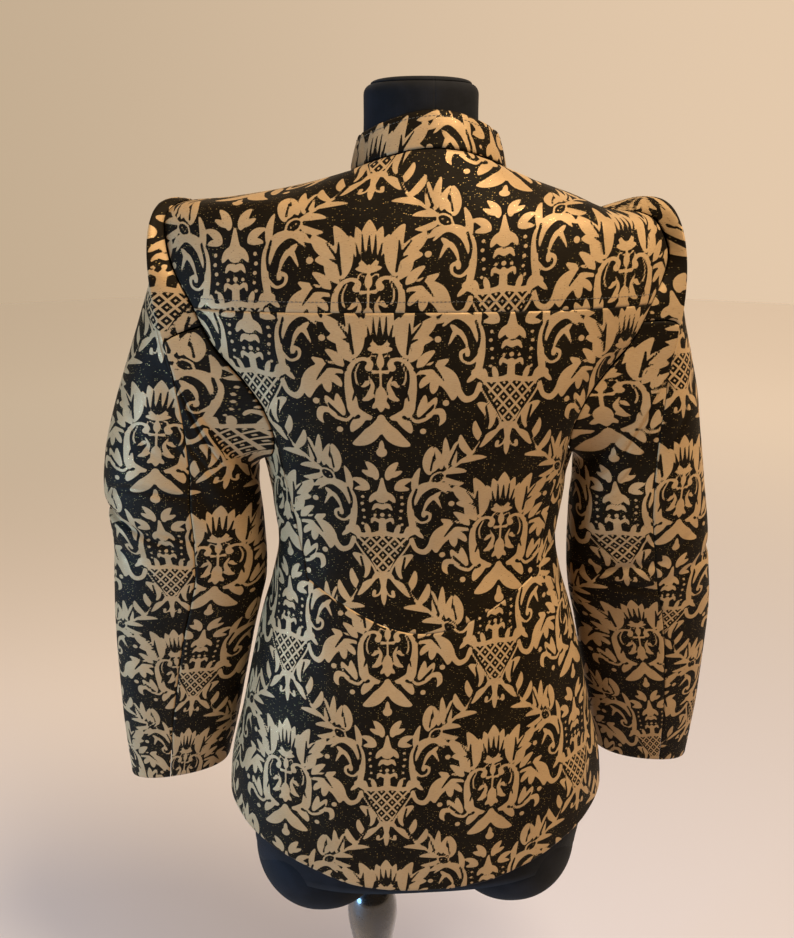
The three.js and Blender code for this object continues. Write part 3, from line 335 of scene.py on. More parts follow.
BASKET = {"top": 154, "low": 197, "rim": 26, "foot": 5, "hollow": 1.2}
LATTICE_WIDE, LATTICE_TALL = COLUMN / 10, REPEAT / 24
LEAVES = (
    # palmette and bud under the crown
    (1, -29, 8, -38, 4, 0.1), (1, -26, 10.5, -29, 4.5, -0.1), (0, -13, 0, -24, 6, 0),
    # three-lobed upper leaf
    (22, -22, 28, -65, 14, -0.12), (26, -41, 45, -57, 12, 0.08), (27, -34, 42.5, -38, 8.5, -0.08),
    (31, -40, 23, -18, 8.5, -0.15),
    # broad side leaf
    (31, -12, 45, -28, 7.5, -0.1), (38, -15, 56, -21, 7, 0.1), (38, -10, 59.5, 16, 16.5, -0.26),
    (45, -3, 43, 10, 7.5, 0), (42, -5, 32.5, 5, 6.5, 0.1), (41, -8, 30.5, -7, 5.5, 0.25),
    # small leaf at the foot
    (31, 31, 36.5, 11, 7, 0.05), (37, 27, 46, 13.5, 7, 0.05),
    # foot of the medallion
    (3, 36, 24.5, 59, 13, 0.14), (14, 33, 25, 47, 8.5, -0.1), (0, 31, 0, 48, 9.5, 0),
    # bud inside the frame
    (0, 5, 0, 27, 9.5, 0), (1, 17, 7, 24, 4.5, 0), (6, 12, 15.5, 17, 4.5, 0),
    # finial
    (0, 66, 0, 54, 4.5, 0),
    # five-leaved crown above the bell
    (5, 94, 14, 76, 7.5, -0.1), (7, 91, 17.5, 85, 5, 0), (6, 92, 7, 80, 5, 0),
    (12, 105, 26, 94, 7, -0.15), (13, 105, 24, 105, 5, -0.1),
    (1, 108, 11, 119, 6, -0.1), (0, 108, 0, 119, 5, 0),
    # drop and sides of the pendant
    (0, 211, 0, 228, 5, 0), (3, 196, 10, 203, 5, 0),
    # rim of the basket
    (28, 149, 37, 158, 4.5, 0), (12, 154, 15, 143, 5, 0), (21, 155, 23, 145, 4.5, 0),
    # garland at the basket's side
    (21, 214, 29, 193, 7, 0.1), (24, 219, 7, 202, 7, 0.06), (27, 177, 17, 202, 9.5, 0.22),
    (31, 226, 41, 206, 7, 0.12), (42, 234, 17, 230, 6, 0.08), (46, 238, 44, 213, 6, 0.06),
    (52, 240, 54, 209, 6.5, 0), (57, 241, 63, 218, 5.5, -0.05), (54, 245, 34, 244, 6, 0.1),
    (55, 250, 36, 256, 5.5, -0.1), (57, 255, 44, 264, 4.5, -0.1),
    # acanthus round the flower's eye
    (41, 88, 43, 60, 9.5, -0.08), (41, 86, 49, 69, 6, 0.1), (29, 110, 33, 81, 6, -0.08),
    (45, 101, 60, 104, 5, -0.2), (44, 114, 51, 107, 4.5, 0),
)
STROKES = (
    # crown of the medallion: blunt lobes that are joined at their roots
    ((0, -44, 5.5), (0, -57, 6.5), (0, -64, 3.8), (0, -69, 1)),
    ((4, -42, 3.5), (7, -52, 4.6), (9, -59, 2.6), (10.2, -63, 0.9)),
    ((7, -38, 2.5), (11, -46, 3.6), (13.6, -52, 2.3), (15.4, -56, 0.9)),
    ((0, -41, 3.2), (0, -38, 2.6)),
    ((0, -40, 1.2), (0, -24, 1.3)),
    ((0, -47, 6.5), (7, -46, 4.5)),
    ((3, -22, 0.8), (7, -24, 0.9), (8.5, -21, 0.9)),
    ((0, -16, 1.1), (0, 9, 1.2)),
    ((0, -9, 1.0), (5.6, -9, 1.9)),
    ((9.6, -5, 0.8), (6.6, 3, 1.7), (8.6, 10, 2.6), (11, 15, 2.4)),
    ((9.6, -12.6, 3.3), (8, -17, 2.2), (13, -20.4, 1.7), (20, -18.4, 1.8), (25, -12, 2.5)),
    ((17, -17, 0.8), (20.4, -8, 1.0), (19.4, 1, 1.1), (14.6, 4, 1.2), (11.2, 1, 2.4)),
    ((20, -19, 1.6), (26, -9, 2.6), (26.6, 4, 3.3), (24.4, 16, 4.8), (22.6, 26, 5.0), (16, 31, 4.3),
     (8, 33, 2.0)),
    ((38, 30, 1.2), (44, 27, 2.4), (50, 27, 3.4), (51.6, 34, 2.7), (48.6, 39.6, 0.7)),
    ((24, 31, 1.2), (29, 35.6, 1.8), (36, 34, 1.8), (42, 30, 1.4)),
    ((47, -38, 3.0),), ((54, 18.6, 3.0),), ((35, 45, 2.9),),
    ((0, 66, 4.8),),
    ((0, 93, 1.2), (0, 104, 3.6), (0, 113, 6.4)),
    ((0, 124, 3.0), (5, 122.4, 2.6), (8.4, 127, 1.0)),
    ((17, 113, 1.8),), ((17.6, 120.4, 1.9),), ((16.6, 128, 1.9),), ((16, 136, 1.7),), ((17.6, 143, 1.6),),
    ((6.4, 133, 1.7),), ((0, 132.6, 2.3),),
    ((0, 139, 3.2), (0, 151, 3.6)),
    ((3, 140, 1.9), (8, 137.4, 2.0), (9.6, 142, 1.1)),
    ((0, 153, 3.0), (10, 155, 2.4), (20, 155, 2.6), (30, 149, 3.6)),
    ((27, 158, 1.1), (21, 170, 1.1), (10, 188, 1.1), (6, 197, 1.4)),
    ((26, 160, 2.4), (30, 170, 2.4), (37.6, 173, 3.2), (43, 166, 2.8), (43, 157, 0.6)),
    ((0, 198, 3.8), (5, 198, 3.2)),
    ((0, 200, 4.0), (0, 213, 1.9)),
    ((1, 209, 1.0), (4, 217, 1.0), (9, 219, 1.5), (8.4, 214.6, 1.9)),
    ((22, 212, 1.8), (30, 224, 1.5), (42, 235, 1.5), (54, 244, 1.2)),
    ((28, 150, 3.2), (25, 130, 3.2), (26, 112, 2.7), (34, 101, 2.4), (42, 97, 1.6)),
    ((28, 122, 1.4), (34, 107, 2.7), (46, 99.4, 3.2), (57.4, 109, 0.8)),
    ((35.6, 130, 0.8), (40, 118, 2.1), (46, 113, 2.7), (52.4, 125, 0.7)),
    ((27, 134, 1.8), (34, 140.6, 1.4), (41, 138, 1.4), (42, 131.4, 1.7), (37, 129.4, 2.0), (36.6, 133, 2.2)),
    ((41.5, 96, 1.1), (43.5, 90, 1.1), (49, 86.4, 1.1), (54, 88, 1.1), (53, 94, 1.1), (47, 98, 1.1),
     (41.5, 96, 1.1)),
    ((46, 93.6, 1.1),), ((50, 90.6, 1.1),),
)
SLITS = (
    ((0, -56, 0.5), (0, -46, 1.4), (0, -40, 2.4), (0, -36, 3.6)),
    ((5.4, -57, 0.5), (5, -47, 1.0), (4.4, -38, 1.6)), ((10.6, -50, 0.5), (9, -42, 1.0), (7.6, -36, 1.4)),
    ((22, -25, 1.0), (24, -40, 1.4), (24, -51, 0.6)),
    ((24.6, -38, 1.2), (34, -51, 0.5)), ((24.6, -35, 1.2), (31, -38, 0.5)),
    ((28, -11, 1.1), (42, -13.6, 1.7), (47, -9, 1.3), (52.6, -1, 0.5)), ((42, -14, 1.3), (46, -19, 0.6)),
    ((33, 32, 0.7), (41, 24.6, 1.4), (44, 20, 0.6)),
    ((5, 32.6, 1.5), (10, 39, 1.3), (18, 46.4, 0.6)),
    ((17, 3, 1.0), (21, 10, 1.1), (23.4, 17, 0.6)),
    ((19, 32, 1.7), (22, 34, 0.8)),
    ((20, 180, 0.9), (18, 196, 1.2), (24, 212, 0.9)),
    ((43, 216, 0.6), (50, 236, 1.0)), ((27, 222, 0.9), (20, 208, 0.6)),
    ((30, 104, 0.9), (27, 116, 1.1), (27.6, 126, 0.9)),
    ((42, 84, 0.9), (44, 70, 0.5)),
)


def stroke_discs(points, spacing=0.5):
    """Discs along a stroke. A Catmull-Rom curve joins its points, and the radius goes evenly between them."""
    p = np.array(points, float)
    if len(p) == 1:
        return p
    q = np.vstack([2 * p[0] - p[1], p, 2 * p[-1] - p[-2]])
    spans = []
    for a, b, c, d in zip(q, q[1:], q[2:], q[3:]):
        t = np.linspace(0, 1, max(int(np.hypot(*(c - b)[:2]) / spacing), 2))[:, None]
        squared, cubed = 2 * a - 5 * b + 4 * c - d, 3 * b - a - 3 * c + d
        curve = (2 * b + (c - a) * t + squared * t**2 + cubed * t**3) / 2
        curve[:, 2] = mix(b[2], c[2], t[:, 0])
        spans.append(curve)
    return np.vstack(spans)


def leaf_discs(root_across, root_down, tip_across, tip_down, width, bend):
    """Discs along a leaf, widest a third of the way up and pointed at the tip. Its spine bends to one side by
    a share of its length."""
    root, tip = np.array([root_across, root_down], float), np.array([tip_across, tip_down], float)
    t = np.linspace(0, 1, 40)
    along = tip - root
    aside = np.array([-along[1], along[0]])
    spine = root + np.outer(t, along) + np.outer(4 * t * (1 - t) * bend, aside)
    return np.column_stack([spine, 0.25 + width / 2 * np.sin(np.pi * t**0.8) ** 0.65])


def stamped(discs):
    """The signed distance to the edge of a union of discs, above zero inside, over one half column."""
    down, across = int(REPEAT / DRAWN), int(COLUMN / DRAWN) + 1
    tile = np.full((down, across), -FAR)
    for x, y, radius in discs:
        reach = int((radius + FAR) / DRAWN) + 1
        i = np.arange(max(int(x / DRAWN) - reach, 0), min(int(x / DRAWN) + reach + 1, across))
        j = np.arange(int(y / DRAWN) - reach, int(y / DRAWN) + reach + 1)
        if len(i):
            part = np.ix_(j % down, i)
            away = np.hypot(i[None, :] * DRAWN - x, j[:, None] * DRAWN - y)
            tile[part] = np.maximum(tile[part], radius - away)
    return tile


def with_next_column(tile):
    """The union of a half column with the other half of its neighbour, which is half a repeat lower."""
    return np.maximum(tile, np.roll(tile[:, ::-1], tile.shape[0] // 2, axis=0))


def drawn_figure():
    """The figure's distance tile and the basket's: leaves and strokes joined, then the slits cut out."""
    added = stamped(np.vstack([leaf_discs(*leaf) for leaf in LEAVES] + [stroke_discs(s) for s in STROKES]))
    cut = stamped(np.vstack([stroke_discs(s) for s in SLITS]))
    down = (np.arange(added.shape[0]) * DRAWN)[:, None]
    across = (np.arange(added.shape[1]) * DRAWN)[None, :]
    half = BASKET["foot"] + (BASKET["rim"] - BASKET["foot"]) * np.clip(
        (BASKET["low"] - down) / (BASKET["low"] - BASKET["top"]), 0, 2) ** BASKET["hollow"]
    basket = np.minimum(np.minimum(down - BASKET["top"], BASKET["low"] - down), (half - across) * 0.85)
    return with_next_column(np.minimum(added, -cut)), with_next_column(np.clip(basket, -FAR, FAR))


FIGURE_TILE, BASKET_TILE = drawn_figure()


def read_tile(tile, across, down):
    """A tile's value at places of the cloth, read evenly between its four nearest numbers."""
    column = np.floor(across / COLUMN)
    x = (across - column * COLUMN) / DRAWN
    y = ((down - column * REPEAT / 2) % REPEAT) / DRAWN
    i, j = np.minimum(x.astype(int), tile.shape[1] - 2), y.astype(int) % tile.shape[0]
    fx, fy, below = x - i, y - np.floor(y), (j + 1) % tile.shape[0]
    return mix(mix(tile[j, i], tile[j, i + 1], fx), mix(tile[below, i], tile[below, i + 1], fx), fy)


# ---- the cloth's own coordinates -------------------------------------------------------------------------


def cumulative(steps, axis):
    zero = np.zeros_like(np.take(steps, [0], axis))
    return np.concatenate([zero, np.cumsum(steps, axis)], axis)


def grid_reader(rows, columns, values):
    """Reads a table of evenly spaced rows and columns evenly between its numbers."""
    def read(row, column):
        y = np.clip((row - rows[0]) / (rows[1] - rows[0]), 0, len(rows) - 1.001)
        x = np.clip((column - columns[0]) / (columns[1] - columns[0]), 0, len(columns) - 1.001)
        j, i = y.astype(int), x.astype(int)
        fy, fx = y - j, x - i
        low, high = (mix(values[k, i], values[k, i + 1], fx) for k in (j, j + 1))
        return mix(low, high, fy)
    return read


def trunk_cloth():
    """How cloth lies on the trunk: across is the length round a ring from the centre back, towards the
    wearer's right, and up is the length up the centre back to the ring's level."""
    levels, turns = np.arange(520, 1252, 4.0), np.arange(-96, 277, 1.0)
    points = trunk_point(turns[None, :], levels[:, None])
    round_it = cumulative(np.linalg.norm(np.diff(points, axis=1), axis=-1), 1)
    middle = int(np.argmin(np.abs(turns - 90)))
    climb = cumulative(np.linalg.norm(np.diff(points[:, middle], axis=0), axis=-1), 0)
    across = grid_reader(levels, turns, round_it - round_it[:, [middle]])
    return lambda turn, level: (across(level, turn), np.interp(level, levels, climb))


SLEEVE_OVAL = (66.0, 47.0)  # half width and half depth of the even oval that stands for a sleeve's sections
FIRST_FULL_SECTION = 3  # from here down a sleeve's sections go all round it


def sleeve_cloth(side):
    """How cloth lies on a sleeve: up is the length of the sleeve's centre line from the cuff to a place's
    height, and across is the length round an even oval from the outside of the sleeve to the direction in
    which the place lies from that line."""
    numbers, round_it = np.arange(LAST_SECTION, FIRST_FULL_SECTION - 0.01, -0.25), np.arange(0, 360, 4.0)
    line = sleeve_point(side, round_it[None, :], numbers[:, None]).mean(axis=1)
    climb = cumulative(np.linalg.norm(np.diff(line, axis=0), axis=-1), 0)
    oval_turns = np.arange(-180, 541, 3.0)
    oval = pair(*(size * way(np.radians(oval_turns)) for size, way in zip(SLEEVE_OVAL, (np.sin, np.cos))))
    oval_length = cumulative(np.linalg.norm(np.diff(oval, axis=0), axis=-1), 0)
    oval_length -= np.interp(90, oval_turns, oval_length)

    def lie(angle, number):
        point = sleeve_point(side, angle, number)
        height = point[..., 2]
        x, y = (point[..., k] - np.interp(height, line[:, 2], line[:, k]) for k in (0, 1))
        turn = np.degrees(np.arctan2(SLEEVES[side]["hand"] * x / SLEEVE_OVAL[0], y / SLEEVE_OVAL[1]))
        turn = angle + (turn - angle + 180) % 360 - 180
        above = np.maximum(height - line[-1, 2], 0)
        return np.interp(turn, oval_turns, oval_length), np.interp(height, line[:, 2], climb) + above
    return lie


# ---- making pieces ---------------------------------------------------------------------------------------


def put_mesh(name, points, faces, material, uv=None, values=()):
    """A mesh object from points in millimetres and lists of faces of equal size each."""
    mesh = bpy.data.meshes.new(name)
    faces = [np.asarray(f, int) for f in faces if len(f)]
    corners = np.concatenate([f.ravel() for f in faces])
    sizes = np.concatenate([np.full(len(f), f.shape[1]) for f in faces])
    moved = (points - np.array([STEM_FROM_MIDDLE, 0, 0])) / 1000
    mesh.vertices.add(len(points))
    mesh.vertices.foreach_set("co", moved.ravel())
    mesh.loops.add(len(corners))
    mesh.loops.foreach_set("vertex_index", corners)
    mesh.polygons.add(len(sizes))
    mesh.polygons.foreach_set("loop_start", np.concatenate([[0], np.cumsum(sizes)[:-1]]))
    mesh.polygons.foreach_set("use_smooth", np.full(len(sizes), True))
    if uv is not None:
        mesh.uv_layers.new(name="cloth").data.foreach_set("uv", (uv[corners] / 1000).ravel())
    for key, value in values:
        mesh.attributes.new(key, "FLOAT", "POINT").data.foreach_set("value", value)
    mesh.update(calc_edges=True)
    mesh.validate()
    mesh.materials.append(material)
    piece = bpy.data.objects.new(name, mesh)
    bpy.context.scene.collection.objects.link(piece)
    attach(piece, "root")
    return piece


BACK_SPACING, SLEEVE_SPACING, FRONT_SPACING = 1.7, 2.25, 2.8  # of the cloth's outer points
RATIO = 4  # the inner face is this much coarser
EDGE_DROP, EDGE_WIDTH = 0.5, 1.9  # how the cloth rolls under at its edges
WELD = 40  # points of two patches are one point where they agree to a part in this many of a millimetre


def outward(point, first, second):
    """The direction square to a surface, from two short steps along it."""
    step = 0.02
    along = point(first + step, second) - point(first - step, second)
    aside = point(first, second + step) - point(first, second - step)
    normal = np.cross(along, aside)
    return normal / np.maximum(np.linalg.norm(normal, axis=-1, keepdims=True), 1e-12)


def even_shares(points, shares, axis, spacing):
    """Shares at which the rows, or columns, of a patch lie one spacing apart where they are widest."""
    gaps = np.linalg.norm(np.diff(points, axis=axis), axis=-1).max(axis=1 - axis)
    length = cumulative(gaps, 0)
    count = RATIO * max(int(round(length[-1] / spacing / RATIO)), 1)
    return np.interp(np.linspace(0, length[-1], count + 1), length, shares)


def from_edges(points, axis):
    """Distances of a patch's points from its two edges, along the rows or the columns."""
    length = cumulative(np.linalg.norm(np.diff(points, axis=axis), axis=-1), axis)
    return length, np.take(length, [-1], axis) - length


def rim(outer, inner):
    """Triangles that close a wall's edge, between its outer points and a quarter as many inner ones."""
    a, b = inner[:-1], inner[1:]
    o = [outer[k : len(outer) - RATIO + k : RATIO] for k in range(RATIO)] + [outer[RATIO::RATIO]]
    parts = [(a, o[1], o[0]), (a, o[2], o[1]), (a, b, o[2]), (b, o[3], o[2]), (b, o[4], o[3])]
    return np.concatenate([np.column_stack(part) for part in parts])


def even_grid(point, place_at, spacing=BACK_SPACING):
    """Shares of a patch's columns and of its rows, and its greatest width and height."""
    coarse = np.linspace(0, 1, 81)
    s, t = np.meshgrid(coarse, coarse)
    place = place_at(s, t)
    probe = point(place[..., 0], place[..., 1])
    size = [from_edges(probe, axis)[0].max() for axis in (1, 0)]
    return even_shares(probe, coarse, 1, spacing), even_shares(probe, coarse, 0, spacing), size


def cloth_patch(point, creases, place_at, sides, grid=None, thickness=CLOTH, lift=None, hand=1,
                spacing=BACK_SPACING):
    """One patch of a wall of cloth. Its outer face lies on the surface, less the creases, and rolls under
    towards the open sides; its inner face is one thickness behind.

    sides says how open the left, right, bottom and top are, as a share that may change along them."""
    columns, rows, (wide, tall) = grid or even_grid(point, place_at, spacing)
    s, t = np.meshgrid(columns, rows)
    left, right, bottom, top = sides
    place = place_at(mix(SEAM_GAP / 2 / wide * left(t), 1 - SEAM_GAP / 2 / wide * right(t), s),
                     mix(SEAM_GAP / 2 / tall * bottom(s), 1 - SEAM_GAP / 2 / tall * top(s), t))
    first, second = place[..., 0], place[..., 1]
    flat, normal = point(first, second), hand * outward(point, first, second)
    if lift is not None:
        flat = flat + lift(flat)
    near = [*from_edges(flat, 1), *from_edges(flat, 0)]
    openness = [left(t), right(t), bottom(s), top(s)]
    roll = np.max([w * (1 - ease(d, 0, EDGE_WIDTH)) for w, d in zip(openness, near)], axis=0)
    base = flat - normal * creases(first, second)[..., None]
    outer = base - normal * (EDGE_DROP * roll)[..., None]
    inner = (base - normal * thickness)[::RATIO, ::RATIO]
    numbers = np.arange(outer[..., 0].size).reshape(outer.shape[:2])
    behind = numbers.size + np.arange(inner[..., 0].size).reshape(inner.shape[:2])
    quads = [grid_quads(numbers), grid_quads(behind)[:, ::-1]]
    edges = [
        (openness[2][0], numbers[0], behind[0]),
        (openness[1][:, -1], numbers[:, -1], behind[:, -1]),
        (openness[3][-1], numbers[-1, ::-1], behind[-1, ::-1]),
        (openness[0][:, 0], numbers[::-1, 0], behind[::-1, 0]),
    ]
    rims = [rim(o, i) for weight, o, i in edges if weight.max() > 0]
    across = np.cross(flat[1:-1, 2:] - flat[1:-1, :-2], flat[2:, 1:-1] - flat[:-2, 1:-1])
    if (across * normal[1:-1, 1:-1]).sum() < 0:
        quads, rims = [q[:, ::-1] for q in quads], [r[:, ::-1] for r in rims]
    places = np.concatenate([place.reshape(-1, 2), place[::RATIO, ::RATIO].reshape(-1, 2)])
    return {
        "points": np.concatenate([outer.reshape(-1, 3), inner.reshape(-1, 3)]),
        "places": places,
        "shown": np.arange(len(places)) < numbers.size,
        "quads": np.concatenate(quads),
        "triangles": np.concatenate(rims),
    }


def grid_quads(numbers):
    corners = numbers[:-1, :-1], numbers[:-1, 1:], numbers[1:, 1:], numbers[1:, :-1]
    return np.stack(corners, -1).reshape(-1, 4)


def figure_places(figure_lie, across, up):
    """Places on the figure's plan, across and down from a medallion's middle, for places on the cloth.

    With r and a the distances across and above the medallion's middle, across is wide r + lean a + bow a^2
    and down is tilt r - tall a."""
    middle, level, wide, tall, lean, tilt, bow = figure_lie
    right, above = across - middle, up - level
    return pair(wide * right + lean * above + bow * above**2, tilt * right - tall * above)


def cloth_piece(name, patches, lie, figure_lie, material, node):
    """A piece of cloth from its patches, which are joined where they share an edge.

    lie gives the cloth's own coordinates at a place, and figure_lie says how the figure lies on them."""
    starts = np.cumsum([0] + [len(p["points"]) for p in patches])
    points, places, shown = (np.concatenate([p[key] for p in patches])
                             for key in ("points", "places", "shown"))
    _, keep, number = np.unique(np.round(points * WELD).astype(int), axis=0, return_index=True,
                                return_inverse=True)
    number = number.ravel()
    faces = [number[np.concatenate([p[key] + start for p, start in zip(patches, starts)])]
             for key in ("quads", "triangles")]
    points, places, shown = points[keep], places[keep], shown[keep]
    across, up = lie(places[:, 0], places[:, 1])
    pattern = figure_places(figure_lie, across, up)
    figure, basket = (np.where(shown, read_tile(tile, pattern[:, 0], pattern[:, 1]), -FAR)
                      for tile in (FIGURE_TILE, BASKET_TILE))
    piece = put_mesh(name, points, faces, material, pattern, (("figure", figure), ("basket", basket)))
    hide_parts(node)
    np.ptp(across)
    np.ptp(up)
    return piece


def between(bottom, top, left, right):
    """Places inside four seam lines, each a function of a share of its length: the lines' usual blend."""
    def place(s, t):
        lines = bottom(s), top(s), left(t), right(t)
        s, t = s[..., None], t[..., None]
        corners = mix(mix(bottom(0.0), bottom(1.0), s), mix(top(0.0), top(1.0), s), t)
        return mix(lines[0], lines[1], t) + mix(lines[2], lines[3], s) - corners
    return place


def closed(share):
    return np.zeros_like(share)


def opened(share):
    return np.ones_like(share)


ALL_OPEN = (opened, opened, opened, opened)

# ---- materials -------------------------------------------------------------------------------------------


class Nodes:
    """A short way to write node trees: each call adds a node, sets or links its inputs, and gives it back."""

    def __init__(self, tree):
        self.tree = tree

    def add(self, kind, inputs=(), **settings):
        node = self.tree.nodes.new(kind)
        for key, value in settings.items():
            setattr(node, key, value)
        for key, value in dict(inputs).items():
            if isinstance(value, bpy.types.NodeSocket):
                self.tree.links.new(value, node.inputs[key])
            else:
                node.inputs[key].default_value = value
        return node

    def math(self, operation, a, b=0.0, c=0.0, clamp=False):
        inputs = {0: a, 1: b, 2: c}
        return self.add("ShaderNodeMath", inputs, operation=operation, use_clamp=clamp).outputs[0]

    def vector(self, operation, a, b=(0, 0, 0), scale=None):
        inputs = {0: a, 1: b} if scale is None else {0: a, "Scale": scale}
        return self.add("ShaderNodeVectorMath", inputs, operation=operation).outputs[0]

    def step(self, value, low, high, to_low=0.0, to_high=1.0):
        """A smooth step of a value from one number to another."""
        inputs = {"Value": value, 1: low, 2: high, 3: to_low, 4: to_high}
        return self.add("ShaderNodeMapRange", inputs, interpolation_type="SMOOTHSTEP").outputs[0]

    def blend(self, share, a, b):
        """The second colour's share in a mix of two."""
        return self.add("ShaderNodeMix", {0: share, 6: a, 7: b}, data_type="RGBA").outputs[2]

    def group(self, tree, **inputs):
        """The outputs of a node group, given its inputs by name."""
        named = {key.replace("_", " "): value for key, value in inputs.items()}
        return self.add("ShaderNodeGroup", named, node_tree=tree).outputs

    def bump(self, height, strength, distance):
        inputs = {"Height": height, "Strength": strength, "Distance": distance}
        return self.add("ShaderNodeBump", inputs).outputs[0]

    def feed(self, sockets, **values):
        """Links values to a shader's or a group's sockets, given by name."""
        for key, value in values.items():
            self.tree.links.new(value, sockets[key.replace("_", " ")])

    def noise(self, vector, scale, detail=2.0, roughness=0.5):
        inputs = {"Vector": vector, "Scale": scale, "Detail": detail, "Roughness": roughness}
        return self.add("ShaderNodeTexNoise", inputs).outputs["Fac"]


def shader_group(name, inputs, outputs):
    """A node group with sockets given as (name, kind, value), and its Nodes, input sockets and output
    node."""
    tree = bpy.data.node_groups.new(name, "ShaderNodeTree")
    for key, kind, value in inputs:
        socket = tree.interface.new_socket(key, in_out="INPUT", socket_type="NodeSocket" + kind)
        if value is not None:
            socket.default_value = value
    for key, kind in outputs:
        tree.interface.new_socket(key, in_out="OUTPUT", socket_type="NodeSocket" + kind)
    nodes = Nodes(tree)
    return nodes, nodes.add("NodeGroupInput").outputs, nodes.add("NodeGroupOutput").inputs


FULL_TURN = 6.2832


def make_threads():
    """Fine threads that cross: a rib along each direction, in millimetres of the cloth, as a height."""
    n, given, out = shader_group(
        "threads", [("Place", "Vector", None), ("Pitch Across", "Float", 0.5), ("Pitch Up", "Float", 0.5)],
        [("Height", "Float"), ("Unevenness", "Float")])
    parts = n.add("ShaderNodeSeparateXYZ", {0: given["Place"]}).outputs
    wave = [n.math("SINE", n.math("DIVIDE", n.math("MULTIPLY", parts[k], FULL_TURN), given[key]))
            for k, key in ((0, "Pitch Across"), (1, "Pitch Up"))]
    slub = n.noise(n.vector("MULTIPLY", given["Place"], (0.25, 2.2, 1)), 1.0, 2.0)
    height = n.math("ADD", n.math("MULTIPLY", wave[0], 0.35), n.math("MULTIPLY", wave[1], 0.65))
    n.feed(out, Height=height, Unevenness=slub)
    return n.tree


def make_mottle():
    """Soft patches of lighter and darker, from three sizes of noise, between 0 and 1."""
    n, given, out = shader_group(
        "mottle", [("Place", "Vector", None), ("Size", "Float", 40.0)], [("Value", "Float")])
    scaled = n.vector("SCALE", given["Place"], scale=n.math("DIVIDE", 1.0, given["Size"]))
    n.feed(out, Value=n.noise(scaled, 1.0, 3.0, 0.6))
    return n.tree


threads, mottle = make_threads(), make_mottle()


def new_material(name, **constants):
    """A material with a Principled shader whose constant values are given by the names of its sockets."""
    material = bpy.data.materials.new(name)
    material.use_nodes = True
    shader = material.node_tree.nodes["Principled BSDF"]
    for key, value in constants.items():
        shader.inputs[key.replace("_", " ")].default_value = value
    return material, Nodes(material.node_tree), shader


# darker and lighter colour of each
SATIN = (0.30, 0.190, 0.093, 1), (0.40, 0.26, 0.13, 1)
GROUND = (0.0035, 0.0018, 0.0006, 1), (0.010, 0.0064, 0.0022, 1)
METAL_THREAD = (0.62, 0.43, 0.16, 1)


def make_damask():
    """Satin figure on a ribbed dark ground, with flecks of metal thread. The figure and the basket come as
    distances from their edges, and the basket's lattice is worked out from the cloth's coordinates."""
    material, n, shader = new_material(
        "damask_cloth", Sheen_Weight=0.01, Sheen_Roughness=0.4, Specular_IOR_Level=0.05)
    uv = n.add("ShaderNodeUVMap", uv_map="cloth").outputs[0]
    place = n.vector("SCALE", uv, scale=1000.0)
    figure = n.add("ShaderNodeAttribute", attribute_name="figure").outputs["Fac"]
    basket = n.add("ShaderNodeAttribute", attribute_name="basket").outputs["Fac"]
    parts = n.add("ShaderNodeSeparateXYZ", {0: place}).outputs
    weave = n.group(threads, Place=place, Pitch_Across=0.42, Pitch_Up=0.62)
    jag = n.math("MULTIPLY", n.math("SUBTRACT", n.noise(place, 1.6, 1.0), 0.5), 0.7)
    leaf = n.step(n.math("ADD", figure, jag), 0.02, 0.36)

    across, up = n.math("DIVIDE", parts[0], LATTICE_WIDE), n.math("DIVIDE", parts[1], LATTICE_TALL)
    slants = [n.math("ABSOLUTE", n.math("SUBTRACT", n.math("FRACT", n.math(way, across, up)), 0.5))
              for way in ("ADD", "SUBTRACT")]
    outer = n.math("MAXIMUM", *slants)
    line, dot = n.step(outer, 0.36, 0.39), n.step(outer, 0.13, 0.10)
    lattice = n.math("MULTIPLY", n.step(basket, -0.1, 0.2), n.math("MAXIMUM", line, dot))
    shown = n.math("MAXIMUM", leaf, lattice)

    patch = n.group(mottle, Place=place, Size=55.0)["Value"]
    shade = n.math("ADD", n.math("MULTIPLY", patch, 0.5), n.math("MULTIPLY", weave["Unevenness"], 0.5))
    satin = n.blend(n.step(shade, 0.3, 0.7), *SATIN)
    ground = n.blend(n.step(shade, 0.3, 0.7), *GROUND)
    stretched = n.vector("MULTIPLY", place, (0.55, 1.5, 1))
    cells = n.add("ShaderNodeTexVoronoi", {"Vector": stretched, "Scale": 1.0})
    luck = n.add("ShaderNodeSeparateColor", {0: cells.outputs["Color"]}).outputs[0]
    fleck = n.math("MULTIPLY", n.step(luck, 0.86, 0.92), n.step(cells.outputs["Distance"], 0.34, 0.2))
    cloth = n.blend(shown, ground, satin)
    colour = n.blend(n.math("MULTIPLY", fleck, n.math("SUBTRACT", 0.65, n.math("MULTIPLY", shown, 0.45))),
                     cloth, METAL_THREAD)
    rough = n.math("ADD", n.math("MULTIPLY", shown, -0.22), 0.62)
    rough = n.math("SUBTRACT", rough, n.math("MULTIPLY", fleck, 0.2))
    metal = n.math("ADD", n.math("MULTIPLY", fleck, 0.8), n.math("MULTIPLY", shown, 0.12), clamp=True)
    height = n.math("ADD", n.math("MULTIPLY", shown, 0.9), n.math("MULTIPLY", weave["Height"], 0.18))
    n.feed(shader.inputs, Base_Color=colour, Roughness=rough, Metallic=metal,
           Normal=n.bump(height, 0.35, 0.0003))
    return material


def object_place(n):
    """Object coordinates in millimetres."""
    return n.vector("SCALE", n.add("ShaderNodeTexCoord").outputs["Object"], scale=1000.0)


